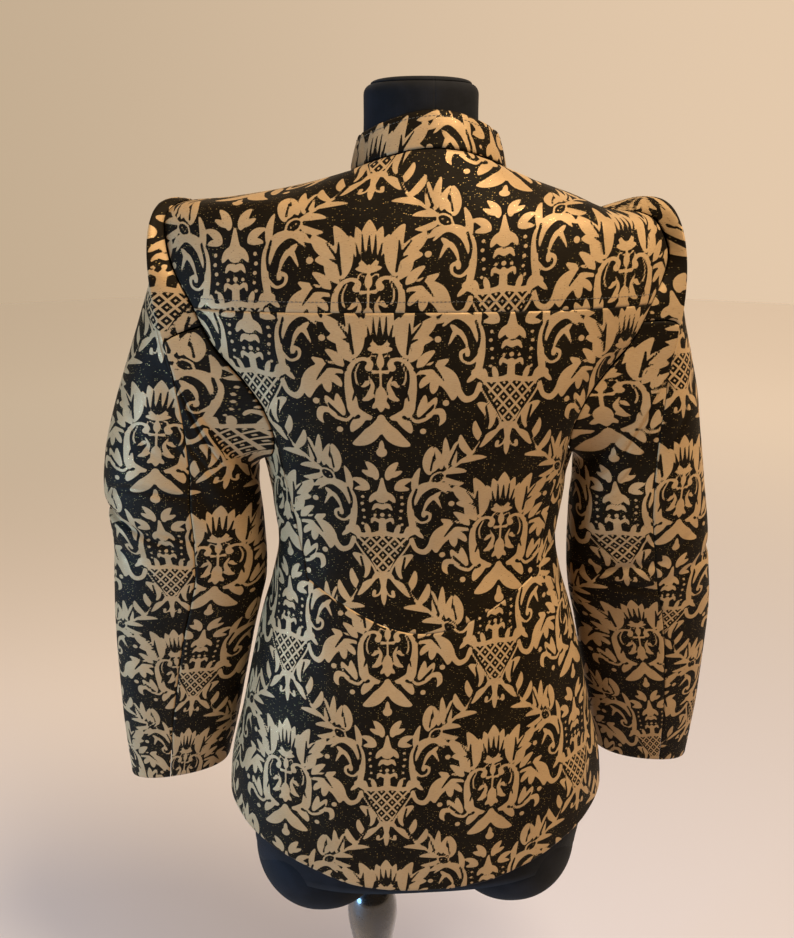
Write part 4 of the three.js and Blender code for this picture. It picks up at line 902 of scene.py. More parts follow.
def make_jersey():
    """Black knit stretched smooth: fine upright ribs, faint lint, and a join down the back of the neck."""
    material, n, shader = new_material(
        "form_jersey", Sheen_Weight=0.02, Sheen_Roughness=0.45, Specular_IOR_Level=0.08)
    place = object_place(n)
    parts = n.add("ShaderNodeSeparateXYZ", {0: place}).outputs
    upright = n.add("ShaderNodeCombineXYZ", {0: parts[0], 1: parts[2]}).outputs[0]
    ribs = n.group(threads, Place=upright, Pitch_Across=1.3, Pitch_Up=0.9)
    patch = n.group(mottle, Place=place, Size=30.0)["Value"]
    colour = n.blend(n.step(patch, 0.3, 0.75), (0.0045, 0.0045, 0.005, 1), (0.010, 0.010, 0.012, 1))
    aside = n.math("ABSOLUTE", n.math("ADD", parts[0], STEM_FROM_MIDDLE + 7.0))
    join = n.math("MULTIPLY", n.step(aside, 1.3, 0.3), n.step(parts[2], 1238, 1246))
    height = n.math("SUBTRACT", n.math("MULTIPLY", ribs["Height"], 0.25), n.math("MULTIPLY", join, 1.6))
    rough = n.math("ADD", 0.72, n.math("MULTIPLY", patch, 0.2))
    n.feed(shader.inputs, Base_Color=colour, Roughness=rough, Normal=n.bump(height, 0.5, 0.0004))
    return material


def make_lacquer():
    """Wood stained black under gloss lacquer, with the grain just showing along the turning."""
    material, n, shader = new_material("stained_wood", Coat_Roughness=0.08, Coat_IOR=1.5)
    place = object_place(n)
    grain = n.noise(n.vector("MULTIPLY", place, (0.5, 0.5, 0.02)), 1.0, 5.0, 0.65)
    dust = n.noise(place, 0.12, 4.0, 0.7)
    colour = n.blend(n.step(grain, 0.4, 0.7), (0.004, 0.003, 0.0028, 1), (0.016, 0.010, 0.007, 1))
    rough = n.math("ADD", 0.24, n.math("MULTIPLY", n.step(dust, 0.45, 0.8), 0.25))
    coat = n.math("SUBTRACT", 0.8, n.math("MULTIPLY", n.step(dust, 0.5, 0.9), 0.3))
    n.feed(shader.inputs, Base_Color=colour, Roughness=rough, Coat_Weight=coat,
           Normal=n.bump(grain, 0.15, 0.0003))
    return material


def make_button_gloss():
    """Plain black button, polished, with fine handling marks."""
    material, n, shader = new_material("button_black", Coat_Weight=0.4, Coat_Roughness=0.1)
    place = object_place(n)
    marks = n.noise(n.vector("MULTIPLY", place, (0.4, 0.4, 3.0)), 1.0, 4.0, 0.7)
    colour = n.blend(n.step(marks, 0.4, 0.8), (0.008, 0.007, 0.007, 1), (0.022, 0.020, 0.018, 1))
    rough = n.math("ADD", 0.2, n.math("MULTIPLY", marks, 0.2))
    n.feed(shader.inputs, Base_Color=colour, Roughness=rough)
    return material


def make_sewing_thread():
    """Dark olive sewing thread with its twist."""
    material, n, shader = new_material("sewing_thread", Sheen_Weight=0.2)
    place = object_place(n)
    parts = n.add("ShaderNodeSeparateXYZ", {0: place}).outputs
    twist = n.math("SINE", n.math("MULTIPLY", n.math("ADD", parts[0], parts[2]), 9.0))
    colour = n.blend(n.step(twist, -1, 1), (0.030, 0.020, 0.008, 1), (0.065, 0.046, 0.020, 1))
    rough = n.math("ADD", 0.5, n.math("MULTIPLY", twist, 0.06))
    n.feed(shader.inputs, Base_Color=colour, Roughness=rough, Normal=n.bump(twist, 0.4, 0.0001))
    return material


damask, jersey, lacquer = make_damask(), make_jersey(), make_lacquer()
button_gloss, sewing_thread = make_button_gloss(), make_sewing_thread()

# ---- the trunk's pieces ----------------------------------------------------------------------------------

TRUNK_CREASES = (
    # from (turn, level), to (turn, level), width, depth
    (62, 905, 118, 885, 5, 0.9), (48, 940, 76, 922, 7, 0.8), (104, 936, 132, 950, 8, 0.7),
    (4, 905, 33, 884, 5, 1.1), (10, 862, 36, 846, 7, 1.0), (2, 940, 22, 962, 8, 0.8),
    (30, 820, 44, 770, 9, 1.0), (176, 898, 150, 880, 5, 1.1), (172, 856, 146, 842, 7, 0.9),
    (178, 950, 160, 972, 8, 0.8), (150, 812, 138, 760, 9, 0.9),
    (10, 700, 16, 610, 12, 1.5), (40, 690, 46, 590, 13, 1.2),
    (165, 690, 158, 600, 12, 1.3), (132, 680, 126, 585, 13, 1.0),
    (16, 1090, 36, 1050, 8, 1.1), (164, 1092, 146, 1052, 8, 1.1),
    (58, 1140, 70, 1100, 9, 0.5), (118, 1146, 108, 1104, 9, 0.5),
    (-14, 905, -44, 885, 6, 1.0), (-20, 950, -52, 930, 8, 0.8),
    (-30, 700, -24, 610, 12, 1.3), (-50, 1060, -34, 1020, 8, 0.8),
    (194, 902, 226, 882, 6, 1.0), (200, 946, 230, 928, 8, 0.8),
    (212, 690, 206, 600, 12, 1.3), (228, 1064, 214, 1024, 8, 0.8),
)


def trunk_creases(turn, level):
    """The main creases of the trunk's cloth, and a soft unevenness from a few long waves."""
    waves = (np.sin(turn * 0.31 + level * 0.021) + np.sin(turn * 0.17 - level * 0.033 + 1.3)
             + np.sin(level * 0.047 + 0.6) * np.sin(turn * 0.09))
    return troughs(TRUNK_CREASES, turn, level, TRUNK_SCALE) + 0.22 * waves


trunk_lie = trunk_cloth()
FIGURE_LIES = {
    # a medallion's middle across and up, stretch wide and tall, lean and tilt per mm, bow per mm squared
    "back_yoke": (-50, 619, 1.0, 1.09, -0.036, 0.065, 0),
    "back_body": (-40.3, 554.4, 1.0, 1.06, 0.012, -0.02, 0),
    "back_skirt": (-35.1, 296.5, 1.07, 1.135, -0.017, 0.012, 0),
    "collar": (-52, -38, 1.0, 1.0, 0, 0, 0),
    "side_front_L": (-300, 400, 1.0, 1.06, 0, 0, 0), "side_front_R": (300, 400, 1.0, 1.06, 0, 0, 0),
    "front_L": (-420, 560, 1.0, 1.06, 0, 0, 0), "front_R": (420, 560, 1.0, 1.06, 0, 0, 0),
    "front_skirt_L": (-420, 200, 1.0, 1.1, 0, 0, 0), "front_skirt_R": (420, 200, 1.0, 1.1, 0, 0, 0),
    "upper_sleeve_L": (-69, 421, 1.0, 1.19, 0.005, 0, 0.00029),
    "under_sleeve_L": (235.6, 294.8, 1.0, 1.125, 0.07, 0, 0),
    "upper_sleeve_R": (-57.7, 359.5, 1.0, 1.145, -0.024, 0, 0.00072),
    "under_sleeve_R": (252.5, 178, 1.0, 1.13, 0.124, 0, -0.00025),
}


def trunk_piece(node, patches, lift=None, spacing=BACK_SPACING):
    """A piece of the trunk from its patches, each a place function, its sides and perhaps its grid."""
    made = [cloth_patch(trunk_point, trunk_creases, *patch, lift=lift, spacing=spacing) for patch in patches]
    return cloth_piece(node + "_cloth", made, trunk_lie, FIGURE_LIES[node], damask, node)


def level_line(level, start, end):
    return lambda share: pair(mix(start, end, share), level)


def other_hand(place):
    """The same places on the wearer's right."""
    def turned(s, t):
        found = place(s, t)
        return pair(180 - found[..., 0], found[..., 1])
    return turned


def make_yoke():
    def edge(on_right):
        def line(t):
            level = mix(YOKE_SEAM, NECK, t)
            turn = opening_turn(level, True)
            return pair(180 - turn if on_right else turn, level)
        return line
    left, right = edge(False), edge(True)
    place = between(level_line(YOKE_SEAM, left(0.0)[0], right(0.0)[0]), level_line(NECK, 0, 180), left, right)
    return trunk_piece("back_yoke", [(place, ALL_OPEN)])


def make_back():
    def edge(on_right):
        def line(t):
            level = mix(back_foot, YOKE_SEAM, t)
            turn = np.where(level <= BACK_MEETING, back_seam_at(level)["turn"], opening_turn(level, True))
            return pair(180 - turn if on_right else turn, level)
        return line
    left, right = edge(False), edge(True)

    def bottom(s):
        turn = mix(left(0.0)[0], right(0.0)[0], s)
        return pair(turn, waist_at(turn))
    place = between(bottom, level_line(YOKE_SEAM, left(1.0)[0], right(1.0)[0]), left, right)
    return trunk_piece("back_body", [(place, ALL_OPEN)])


def make_back_skirt():
    """The back skirt goes on up beside the back panel to both armholes, in one piece."""
    foot_turn = float(back_seam_at(back_foot)["turn"])
    lower = between(
        lambda s: pair(foot_turn * s, hem_at(foot_turn * s)),
        lambda s: pair(foot_turn * s, back_foot),
        lambda t: pair(0, mix(hem_at(0.0), back_foot, t)),
        lambda t: pair(foot_turn, mix(hem_at(foot_turn), back_foot, t)),
    )

    def up_the_seam(t):
        level = mix(back_foot, BACK_MEETING, t)
        return pair(back_seam_at(level)["turn"], level)
    upper = between(
        lambda s: pair(foot_turn * s, back_foot),
        lambda s: armhole_place(mix(-90, armhole_angle(BACK_MEETING, True), s)),
        lambda t: pair(0, mix(back_foot, ARMHOLE_BOTTOM, t)),
        up_the_seam,
    )

    def middle_line(level_at):
        def line(s):
            turn = mix(foot_turn, 180 - foot_turn, s)
            return pair(turn, level_at(turn))
        return line
    middle = between(
        middle_line(hem_at), middle_line(waist_at),
        lambda t: pair(foot_turn, mix(hem_at(foot_turn), back_foot, t)),
        lambda t: pair(180 - foot_turn, mix(hem_at(foot_turn), back_foot, t)),
    )

    def fading_out(share):
        return np.minimum(share * 20, 1)

    def fading_both(share):
        return np.minimum(np.minimum(share, 1 - share) * 20, 1)
    beside, up_seam = (opened, closed, opened, closed), (opened, fading_out, closed, opened)
    across_middle, down_middle, _ = even_grid(trunk_point, middle)
    across_side, up_side, _ = even_grid(trunk_point, upper)
    lower_grid, upper_grid = (across_side, down_middle, (70, 300)), (across_side, up_side, (70, 110))
    patches = [(middle, (closed, closed, opened, fading_both), (across_middle, down_middle, (300, 300)))]
    for turned in (lambda place: place, other_hand):
        patches += [(turned(lower), beside, lower_grid), (turned(upper), up_seam, upper_grid)]
    return trunk_piece("back_skirt", patches)


def make_side_front(side):
    def seam(t):
        level = mix(front_foot, FRONT_MEETING, t)
        return pair(-front_seam_at(level)["turn"], level)

    def bottom(s):
        turn = mix(seam(0.0)[0], 0, s)
        return pair(turn, waist_at(turn))
    top_from = armhole_angle(FRONT_MEETING, False)
    place = between(bottom, lambda s: armhole_place(mix(top_from, 270, s)), seam,
                    lambda t: pair(0, mix(WAIST_AT_SIDE, ARMHOLE_BOTTOM, t)))
    return trunk_piece("side_front_" + side, [(place if side == "L" else other_hand(place), ALL_OPEN)],
                       spacing=FRONT_SPACING)


def lap(side):
    """The right front is raised where it laps over the left."""
    if side == "L":
        return None
    from_middle = FRONT_LAP + 10
    return lambda points: np.stack(np.broadcast_arrays(
        0, -LAP_LIFT * (1 - ease(-points[..., 0], from_middle, from_middle + 16)), 0), -1)


def make_front(side):
    def edge(t):
        level = mix(waist_at(-90.0), NECK, t)
        return pair(front_edge_turn(level, -FRONT_LAP), level)

    def outside(t):
        level = mix(front_foot, NECK, t)
        turn = np.where(level <= FRONT_MEETING, -front_seam_at(level)["turn"], opening_turn(level, False))
        return pair(turn, level)

    def bottom(s):
        turn = mix(edge(0.0)[0], outside(0.0)[0], s)
        return pair(turn, waist_at(turn))
    place = between(bottom, level_line(NECK, edge(1.0)[0], 0), edge, outside)
    return trunk_piece("front_" + side, [(place if side == "L" else other_hand(place), ALL_OPEN)], lap(side),
                       FRONT_SPACING)


def make_front_skirt(side):
    corner = 26  # the front corners of the hem are rounded off by about this much
    middle_hem = float(hem_at(-90.0)) + corner

    def edge(t):
        level = mix(middle_hem, waist_at(-90.0), t)
        return pair(front_edge_turn(level, -FRONT_LAP), level)

    def bottom(s):
        turn = mix(edge(0.0)[0], 0, s)
        return pair(turn, hem_at(np.maximum(turn, -90)) + corner * np.maximum(1 - s / 0.22, 0) ** 2)

    def top(s):
        turn = mix(edge(1.0)[0], 0, s)
        return pair(turn, waist_at(np.maximum(turn, -90)))
    place = between(bottom, top, edge, lambda t: pair(0, mix(hem_at(0.0), waist_at(0.0), t)))
    return trunk_piece("front_skirt_" + side, [(place if side == "L" else other_hand(place), ALL_OPEN)],
                       lap(side), FRONT_SPACING)


def collar_point(turn, share):
    """The collar's outer face: it rises from the neckline and leans in by a share that grows with height."""
    base = trunk_point(turn, np.full_like(turn, NECK))
    c, s = np.cos(np.radians(turn)), np.sin(np.radians(turn))
    lean = mix(np.where(s < 0, 7, 9), 7.5, c * c) * (share * 0.55 + 0.45 * share**2)
    inward = np.stack([NECK_SHIFT - base[..., 0], -base[..., 1], np.zeros_like(c)], -1)
    inward /= np.linalg.norm(inward, axis=-1, keepdims=True)
    drop = 2.5 * np.exp(-(((np.abs(90 - turn) - 180) / 26) ** 2))
    rise = 0.7 + share * (COLLAR_HEIGHT - drop)
    return base + inward * lean[..., None] + np.stack([0 * c, 0 * c, rise], -1)


COLLAR_DENTS = (
    # from (turn, share of the height), to, width, depth
    (8, 1.05, 14, 0.1, 5, 1.6), (24, 0.9, 30, 0.2, 4, 0.8), (60, 0.2, 110, 0.35, 5, 0.5),
    (150, 1.0, 156, 0.2, 5, 1.2), (168, 1.05, 174, 0.1, 5, 1.6), (128, 0.8, 124, 0.1, 5, 0.6),
    (-30, 1.0, -24, 0.1, 6, 1.0), (212, 1.0, 204, 0.1, 6, 1.0),
)


def collar_creases(turn, share):
    return troughs(COLLAR_DENTS, turn, share, (1.1, COLLAR_HEIGHT))


def make_collar():
    opening = 1.6
    place = between(level_line(0, opening - 90, 270 - opening), level_line(1, opening - 90, 270 - opening),
                    lambda t: pair(opening - 90, t), lambda t: pair(270 - opening, t))
    patch = cloth_patch(collar_point, collar_creases, place, ALL_OPEN, thickness=CLOTH + 0.8)
    around = np.arange(-96, 277, 1.0)
    edge = collar_point(around, np.full_like(around, 0.5))
    length = cumulative(np.linalg.norm(np.diff(edge, axis=0), axis=-1), 0)
    length -= np.interp(90, around, length)
    lie = lambda turn, share: (np.interp(turn, around, length), share * COLLAR_HEIGHT)
    return cloth_piece("collar_cloth", [patch], lie, FIGURE_LIES["collar"], damask, "collar")


# ---- the sleeves' pieces ---------------------------------------------------------------------------------

SLEEVE_CREASES = {
    # from (angle, section), to (angle, section), width, depth
    "L": (
        (60, 8.7, -8, 7.6, 4.5, 2.4), (20, 9.2, -24, 9.0, 5, 1.3), (70, 9.9, 30, 10.4, 6, 1.2),
        (56, 6.6, 22, 7.0, 7, 1.0), (60, 2.5, 10, 3.4, 9, 1.0), (-12, 3.2, -34, 4.4, 7, 1.8),
        (-10, 5.4, -36, 6.2, 8, 1.2), (40, 12.4, -6, 12.9, 8, 0.8),
    ),
    "R": (
        (-42, 10.3, 6, 11.1, 4.5, 2.4), (-30, 9.3, 4, 9.6, 5, 1.2), (52, 9.6, 20, 10.1, 6, 1.2),
        (10, 11.9, -28, 12.3, 8, 1.0), (50, 3.5, 5, 4.5, 9, 1.0), (-12, 3.4, -34, 4.8, 7, 1.8),
        (46, 6.4, 16, 7.1, 8, 1.1), (-8, 6.2, -36, 6.9, 8, 1.2),
    ),
}


def make_sleeve(side):
    """Each sleeve has an upper and an under piece, between its back seam and its front seam."""
    start, clear = 0.03, 0.25
    at, lie = SLEEVES[side]["at"], sleeve_cloth(side)

    def point(angle, number):
        return sleeve_point(side, angle, number)

    def creases(angle, number):
        near = np.where(angle > 270, angle - 360, angle)
        waves = np.sin(near * 0.045 + number * 1.7) + np.sin(near * 0.03 - number * 1.1 + 0.7)
        return troughs(SLEEVE_CREASES[side], near, number, SLEEVE_SCALE) + 0.25 * waves

    def back_seam(number):
        return at(number)["seam"]

    def front_seam(number):
        return FRONT_SLEEVE_SEAM + 0 * number

    for name, from_at, to_at in (
        ("upper_sleeve_", back_seam, front_seam),
        ("under_sleeve_", front_seam, lambda number: back_seam(number) + 360),
    ):
        def place(s, t, from_at=from_at, to_at=to_at):
            number = mix(LAST_SECTION, start, t)
            return pair(mix(from_at(number) + clear, to_at(number) - clear, s), number)
        node = name + side
        patch = cloth_patch(point, creases, place, ALL_OPEN, hand=SLEEVES[side]["hand"],
                            spacing=SLEEVE_SPACING)
        cloth_piece(node + "_cloth", [patch], lie, FIGURE_LIES[node], damask, node)


# ---- stitching -------------------------------------------------------------------------------------------


def stitch_row(name, path, out, material, length=2.4, gap=0.9, radius=0.32):
    """A row of stitches along a path on the cloth: each is a spindle of six sides, thickest in its middle,
    half sunk into the cloth. out is the cloth's outward direction along the path."""
    along = cumulative(np.linalg.norm(np.diff(path, axis=0), axis=-1), 0)
    count = int(along[-1] / (length + gap))
    starts = np.linspace(gap, along[-1] - length, count)
    stations, swell = np.linspace(0, 1, 5), np.array([0.25, 0.85, 1, 0.85, 0.25])
    at = starts[:, None] + stations * length
    centre = np.stack([np.interp(at, along, path[:, k]) for k in range(3)], -1)
    up = np.stack([np.interp(at, along, out[:, k]) for k in range(3)], -1)
    run = np.gradient(centre, axis=1)
    run /= np.linalg.norm(run, axis=-1, keepdims=True)
    side = np.cross(run, up)
    angle = np.arange(6) * np.pi / 3
    spoke = np.cos(angle)[:, None] * side[..., None, :] + np.sin(angle)[:, None] * up[..., None, :]
    points = centre[..., None, :] + radius * swell[:, None, None] * spoke + up[..., None, :] * radius * 0.3
    numbers = np.arange(count * 30).reshape(count, 5, 6)
    nxt = np.roll(numbers, -1, axis=2)
    quads = np.stack([numbers[:, :-1], nxt[:, :-1], nxt[:, 1:], numbers[:, 1:]], -1).reshape(-1, 4)
    caps = np.concatenate([numbers[:, 0, ::-1], numbers[:, -1]])
    return put_mesh(name, points.reshape(-1, 3), [quads, caps], material)


def on_trunk(turn, level):
    place = np.asarray(turn, float), np.broadcast_to(np.asarray(level, float), np.shape(turn))
    out = outward(trunk_point, *place)
    return trunk_point(*place) - out * trunk_creases(*place)[..., None], out


YOKE_STITCHES, COLLAR_STITCHES = 8.5, 5  # how far each row runs from the seam below it, or the edge above it


def make_stitching():
    level = YOKE_SEAM + YOKE_STITCHES
    edge = float(opening_turn(level, True))
    turns = np.linspace(edge + 1.5, 178.5 - edge, 400)
    yoke = stitch_row("yoke_stitches", *on_trunk(turns, level), sewing_thread)
    turns = np.linspace(-86, 266, 500)
    share = np.full_like(turns, 1 - COLLAR_STITCHES / COLLAR_HEIGHT)
    out = outward(collar_point, turns, share)
    path = collar_point(turns, share) - out * collar_creases(turns, share)[..., None]
    collar = stitch_row("collar_stitches", path, out, sewing_thread)
    return yoke, collar


# ---- buttons ---------------------------------------------------------------------------------------------


def lathed(outline, around, middle=(0, 0, 0), axes=((1, 0, 0), (0, 1, 0), (0, 0, 1))):
    """Rings of points: an outline of (radius, height) turned about the last of three axes, from the bottom
    up, anticlockwise seen from above."""
    outline = np.array(outline, float)
    angle = np.arange(around) * 2 * np.pi / around
    across, aside, up = (np.array(a, float) for a in axes)
    spoke = np.cos(angle)[:, None] * across + np.sin(angle)[:, None] * aside
    return np.array(middle) + outline[:, 0, None, None] * spoke + outline[:, 1, None, None] * up


def lofted(rings):
    """Points and faces of a closed solid through rings of equal counts of points, the lowest first."""
    rings = np.asarray(rings)
    rows, around = rings.shape[:2]
    numbers = np.arange(rows * around).reshape(rows, around)
    nxt = np.roll(numbers, -1, axis=1)
    quads = np.stack([numbers[:-1], nxt[:-1], nxt[1:], numbers[1:]], -1).reshape(-1, 4)
    first, last = rows * around, rows * around + 1
    points = np.vstack([rings.reshape(-1, 3), rings[0].mean(axis=0), rings[-1].mean(axis=0)])
    low = np.column_stack([np.full(around, first), nxt[0], numbers[0]])
    high = np.column_stack([np.full(around, last), numbers[-1], nxt[-1]])
    return points, quads, np.concatenate([low, high])


def solid_piece(name, solids, material, node):
    """A piece from one or more closed solids, each as points, quads and triangles."""
    starts = np.cumsum([0] + [len(s[0]) for s in solids])
    faces = [np.concatenate([s[k] + start for s, start in zip(solids, starts)]) for k in (1, 2)]
    piece = put_mesh(name, np.vstack([s[0] for s in solids]), faces, material)
    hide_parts(node)
    return piece


def rounded_outline(points, per_side=4, roundness=0.32):
    """An outline with its corners rounded: each corner is a short quadratic curve between points part of the
    way along its two sides."""
    p = np.array(points, float)
    out = [p[0]]
    for before, corner, after in zip(p, p[1:], p[2:]):
        start, end = mix(corner, before, roundness), mix(corner, after, roundness)
        t = np.linspace(0, 1, per_side)[:, None]
        out.extend((1 - t) ** 2 * start + 2 * t * (1 - t) * corner + t**2 * end)
    out.append(p[-1])
    return np.array(out)


def make_buttons():
    outline = rounded_outline([
        (0.4, 0.45), (2.4, 0.45), (2.4, 2.2), (BUTTON_RADIUS - 0.6, 2.2), (BUTTON_RADIUS, 3.4),
        (BUTTON_RADIUS * 0.86, 4.6), (BUTTON_RADIUS * 0.7, 4.5), (BUTTON_RADIUS * 0.55, 4.9), (0.4, 5.5),
    ])
    levels = np.linspace(600, NECK, 1301)
    heights = trunk_point(np.full_like(levels, -90), levels)[:, 2]
    for k in range(BUTTON_COUNT):
        level = np.interp(BUTTON_TOP - BUTTON_PITCH * k, heights, levels)
        out = outward(trunk_point, np.array(-90.0), np.array(level))
        seat = trunk_point(np.array(-90.0), np.array(level)) + np.array([0, -LAP_LIFT, 0])
        up = np.cross((1, 0, 0), out)
        rings = lathed(outline, 40, seat, ((1, 0, 0), -up, out))
        name = "button_%d" % (k + 1)
        solid_piece(name + "_shell", [lofted(rings)], button_gloss, name)


# ---- the form and its stand ------------------------------------------------------------------------------

EASE_ROWS = (
    (560, 15), (640, 10), (765, 6), (893, 5), (1005, 8), (1125, 7), (1186, 5), (1221, 4.5), (1250, 4),
)
form_ease = smooth_table(("level", "ease"), EASE_ROWS)
SHOULDER_HALF = 172
NECK_TOP = {"height": 1302, "half": 49, "rear": 48, "fore": 43, "edge": 8}
LOBE = {"apart": 101, "half": 75, "depth": 88, "bottom": 476, "top": 590, "roundness": 62}
AROUND = 144


def form_ring(level):
    """A ring of the form: the trunk's ring less the cloth and some room, with the shoulders cut short."""
    room = float(form_ease(level)["ease"]) + CLOTH
    turn = np.arange(AROUND) * 360 / AROUND
    points = trunk_point(turn, np.full(AROUND, float(level)))
    flat = np.hypot(points[:, 0], points[:, 1])
    slant = float(ease(level, 1100, 1165))
    x = points[:, 0] - points[:, 0] / flat * room * (1 - 0.6 * slant)
    y = points[:, 1] - points[:, 1] / flat * room * (1 - 0.4 * slant)
    over = np.maximum(np.abs(x) - SHOULDER_HALF, 0)
    return np.column_stack([x - np.sign(x) * over * 0.94, y, points[:, 2] - room * slant])


def round_box(middle, height, half, depth, square):
    turn = np.arange(AROUND) * 2 * np.pi / AROUND
    c, s = np.cos(turn), np.sin(turn)
    reach = ((np.abs(c) / half) ** square + (np.abs(s) / depth) ** square) ** (-1 / square)
    return np.column_stack([middle + reach * c, reach * s, np.full(AROUND, height)])


def neck_ring(share, inset=0.0):
    """A ring of the form's neck: it draws in quickly above the shoulders and then goes straight up."""
    foot = form_ring(NECK)
    turn = np.arange(AROUND) * 2 * np.pi / AROUND
    c, s = np.cos(turn), np.sin(turn)
    depth = np.where(s >= 0, NECK_TOP["rear"], NECK_TOP["fore"])
    reach = ((np.abs(c) / NECK_TOP["half"]) ** 2.1 + (np.abs(s) / depth) ** 2.1) ** (-1 / 2.1) - inset
    settle = 1 - (1 - min(share, 1)) ** 4
    top = NECK_TOP["height"] - NECK_TOP["edge"]
    return np.column_stack([mix(foot[:, 0], reach * c, settle), mix(foot[:, 1], reach * s, settle),
                            mix(foot[:, 2], top, share)])


def at_height(ring, height):
    return np.column_stack([ring[:, :2], np.full(len(ring), height)])


def make_form():
    rings = [form_ring(level) for level in np.linspace(540, 1238, 90)]
    rings += [neck_ring(share) for share in np.linspace(0, 1, 16)]
    top = NECK_TOP["height"] - NECK_TOP["edge"]
    angle = np.linspace(0, np.pi / 2, 8)[1:]
    rings += [at_height(neck_ring(1, 7 * (1 - np.cos(a))), top + NECK_TOP["edge"] * np.sin(a)) for a in angle]
    solids = [lofted(rings)]
    for side in (1, -1):
        lobe = []
        for u in np.linspace(0, 1, 26) ** 1.7:
            grow = (1 - (1 - max(u, 0.012)) ** 2) ** 0.4
            lobe.append(round_box(side * LOBE["apart"], LOBE["bottom"] + LOBE["roundness"] * u,
                                  LOBE["half"] * grow, LOBE["depth"] * (0.25 + 0.75 * grow), 2.2))
        lobe.append(round_box(side * (LOBE["apart"] - 8), LOBE["top"], LOBE["half"] + 8,
                              LOBE["depth"] + 2, 2.2))
        solids.append(lofted(lobe))
    solid_piece("torso_jersey", solids, jersey, "form_torso")
    angle = np.linspace(0, np.pi / 2, 9)
    cap = [at_height(neck_ring(1, 6), NECK_TOP["height"] + 0.3)]
    cap += [at_height(neck_ring(1, 6 + 14 * (1 - np.cos(a))), NECK_TOP["height"] + 0.6 + 3.8 * np.sin(a))
            for a in angle]
    solid_piece("neck_cap_jersey", [lofted(cap)], jersey, "neck_cap")


STEM_OUTLINE = (
    (0.5, 26), (26, 26), (26, 34), (19, 41), (16, 60), (16, 74), (23, 81), (23, 90), (17, 97), (15, 118),
    (16, 170), (21, 235), (25, 280), (17, 322), (22, 334), (22, 344), (16, 352), (22, 372), (28.5, 412),
    (28.5, 430), (24, 450), (12, 464), (12, 540), (0.5, 540),
)
BASE_OUTLINE = (
    (0.5, 0), (150, 0), (154, 3), (154, 9), (149, 14), (110, 18), (60, 21), (40, 25.7), (0.5, 25.7),
)


def make_stand():
    for name, outline, node in (
        ("stem_turning", STEM_OUTLINE, "stand_stem"), ("base_turning", BASE_OUTLINE, "stand_base"),
    ):
        rings = lathed(rounded_outline(outline, 5), 96, (STEM_FROM_MIDDLE, 0, 0))
        solid_piece(name, [lofted(rings)], lacquer, node)


# ---- everything together ---------------------------------------------------------------------------------


def make_camera():
    """The camera looks down at the jacket's back from a little to the wearer's left of the middle."""
    image_height, focal = 938, 880  # in pixels of the image
    pitch, distance, height, azimuth = 18.5, 812, 1230, 175
    yaw = 1.44
    data = bpy.data.cameras.new("camera")
    data.lens = 36 * focal / image_height
    data.clip_start, data.clip_end = 0.05, 100
    camera = bpy.data.objects.new("camera", data)
    bpy.context.scene.collection.objects.link(camera)
    bpy.context.scene.camera = camera
    a = np.radians(azimuth)
    forward = np.array([-np.sin(a), np.cos(a), 0.0])
    place = -forward * distance
    place[2] = height
    c, s = np.cos(np.radians(yaw)), np.sin(np.radians(yaw))
    flat = np.array([forward[0] * c - forward[1] * s, forward[0] * s + forward[1] * c, 0])
    p = np.radians(pitch)
    ahead = flat * np.cos(p) - np.array([0, 0, np.sin(p)])
    right = np.cross(ahead, (0, 0, 1))
    right /= np.linalg.norm(right)
    up = np.cross(right, ahead)
    turned = np.eye(4)
    turned[:3, :3] = np.column_stack([right, up, -ahead])
    turned[:3, 3] = (place - np.array([STEM_FROM_MIDDLE, 0, 0])) / 1000
    camera.matrix_world = Matrix(turned.tolist())


def area_light(name, place, target, size, power, colour):
    data = bpy.data.lights.new(name, "AREA")
    data.shape, data.size, data.energy, data.color = "DISK", size, power, colour
    light = bpy.data.objects.new(name, data)
    bpy.context.scene.collection.objects.link(light)
    back = np.array(place, float) - np.array(target, float)
    back /= np.linalg.norm(back)
    side = np.cross((0, 0, 1), back)
    side /= np.linalg.norm(side)
    turned = np.eye(4)
    turned[:3, :3] = np.column_stack([side, np.cross(back, side), back])
    turned[:3, 3] = place
    light.matrix_world = Matrix(turned.tolist())


BACKDROP = (0.53, 0.405, 0.275, 1), (0.78, 0.59, 0.415, 1)
# painted light: the floor's colours near the form and far off, each going from the wearer's left to the right
# with the backdrop's side; the far pair is painted to match the lit backdrop at the horizon
FLOOR_NEAR_PAINTED_LIGHT = (0.76, 0.67, 0.60, 1), (0.60, 0.58, 0.64, 1)
FLOOR_FAR_PAINTED_LIGHT = (0.66, 0.66, 0.65, 1), (0.92, 0.88, 0.86, 1)
# painted glow: the share of the backdrop's colour that the floor's far part emits, though it is no lamp
FLOOR_PAINTED_GLOW = 0.3
FLOOR_RADIUS, FLOOR_SIDES, FLOOR_DROP = 9000, 96, 0.5
OVERHEAD, BEHIND = 1.3, 0.16  # the sky's strength above, and on the camera's side
LIT_PLACE = (-0.05, 0, 1.0)  # what both lights point at, in metres
LIGHTS = (
    # name, place, size, power, colour
    ("key_warm", (-0.9, 0.95, 2.9), 0.9, 92, (1.0, 0.84, 0.62)),
    ("window_cool", (1.9, 0.7, 0.5), 0.9, 62, (0.26, 0.56, 1.0)),
)


def make_backdrop():
    """A pale backdrop, which is a little brighter towards the wearer's right: its colour for a direction."""
    n, given, out = shader_group("backdrop", [("Direction", "Vector", None)],
                                 [("Color", "Color"), ("Aside", "Float")])
    parts = n.add("ShaderNodeSeparateXYZ", {0: n.vector("NORMALIZE", given["Direction"])}).outputs
    aside = n.step(parts[0], 0.55, -0.55)
    n.feed(out, Color=n.blend(aside, *BACKDROP), Aside=aside)
    return n.tree


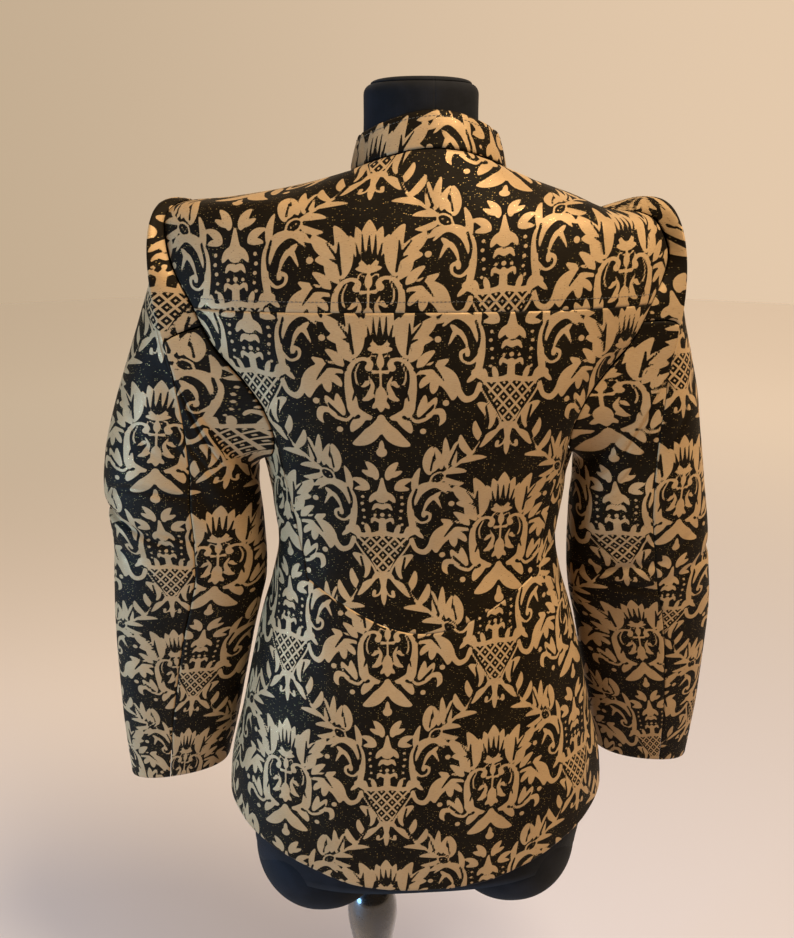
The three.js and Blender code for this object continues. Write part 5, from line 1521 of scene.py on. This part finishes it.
def make_studio():
    """A pale round floor, its colour painted light that changes with the backdrop's side and far off matches
    the lit backdrop, and far off a faint painted glow, so that it meets the sky without a line; a pale sky, a
    warm light from behind on the wearer's right and a cool one on the left."""
    backdrop = make_backdrop()
    # the floor's material holds painted light: its colour and its glow
    material, n, shader = new_material("floor_pale_painted_light", Roughness=0.95, Emission_Strength=1.0)
    place = object_place(n)
    aside = n.add("ShaderNodeGroup", {0: place}, node_tree=backdrop).outputs["Aside"]
    away = n.add("ShaderNodeVectorMath", {0: place}, operation="LENGTH").outputs["Value"]
    # painted light: the floor's colour changes with the backdrop's side, and far off it is painted to match
    # the lit backdrop
    colour = n.blend(n.step(away, 500, 4500), n.blend(aside, *FLOOR_NEAR_PAINTED_LIGHT), n.blend(aside, *FLOOR_FAR_PAINTED_LIGHT))
    # painted glow: far off the floor emits the backdrop's colour, so that it meets the sky without a line
    painted_glow = n.blend(n.step(away, 900, 5000, 0.0, FLOOR_PAINTED_GLOW), (0, 0, 0, 1), n.blend(aside, *BACKDROP))
    n.feed(shader.inputs, Base_Color=colour, Emission_Color=painted_glow)
    angle = np.arange(FLOOR_SIDES) * 2 * np.pi / FLOOR_SIDES
    points = np.column_stack([FLOOR_RADIUS * np.cos(angle), FLOOR_RADIUS * np.sin(angle),
                              np.full(FLOOR_SIDES, -FLOOR_DROP)])
    mesh = bpy.data.meshes.new("floor")
    mesh.from_pydata((points / 1000).tolist(), [], [list(range(FLOOR_SIDES))])
    mesh.materials.append(material)
    floor = bpy.data.objects.new("floor", mesh)
    bpy.context.scene.collection.objects.link(floor)
    world = bpy.data.worlds.new("studio")
    world.use_nodes = True
    sky, air = Nodes(world.node_tree), world.node_tree.nodes["Background"]
    direction = sky.add("ShaderNodeTexCoord").outputs["Generated"]
    shade = sky.add("ShaderNodeGroup", {0: direction}, node_tree=backdrop).outputs[0]
    parts = sky.add("ShaderNodeSeparateXYZ", {0: direction}).outputs
    overhead = sky.step(parts[2], 0.12, 0.9, 1.0, OVERHEAD)
    strength = sky.math("MULTIPLY", overhead, sky.step(parts[1], -0.3, 0.6, 1.0, BEHIND))
    sky.feed(air.inputs, Color=shade, Strength=strength)
    bpy.context.scene.world = world
    bpy.context.scene.view_settings.view_transform = "Standard"
    for name, place, size, power, colour in LIGHTS:
        area_light(name, place, LIT_PLACE, size, power, colour)


make_camera()
make_studio()
make_yoke()
make_back()
make_back_skirt()
make_collar()
for side in ("L", "R"):
    make_side_front(side)
    make_front(side)
    make_front_skirt(side)
    make_sleeve(side)
stitches = dict(zip(("back_yoke_cloth", "collar_cloth"), make_stitching()))
make_buttons()
make_form()
make_stand()
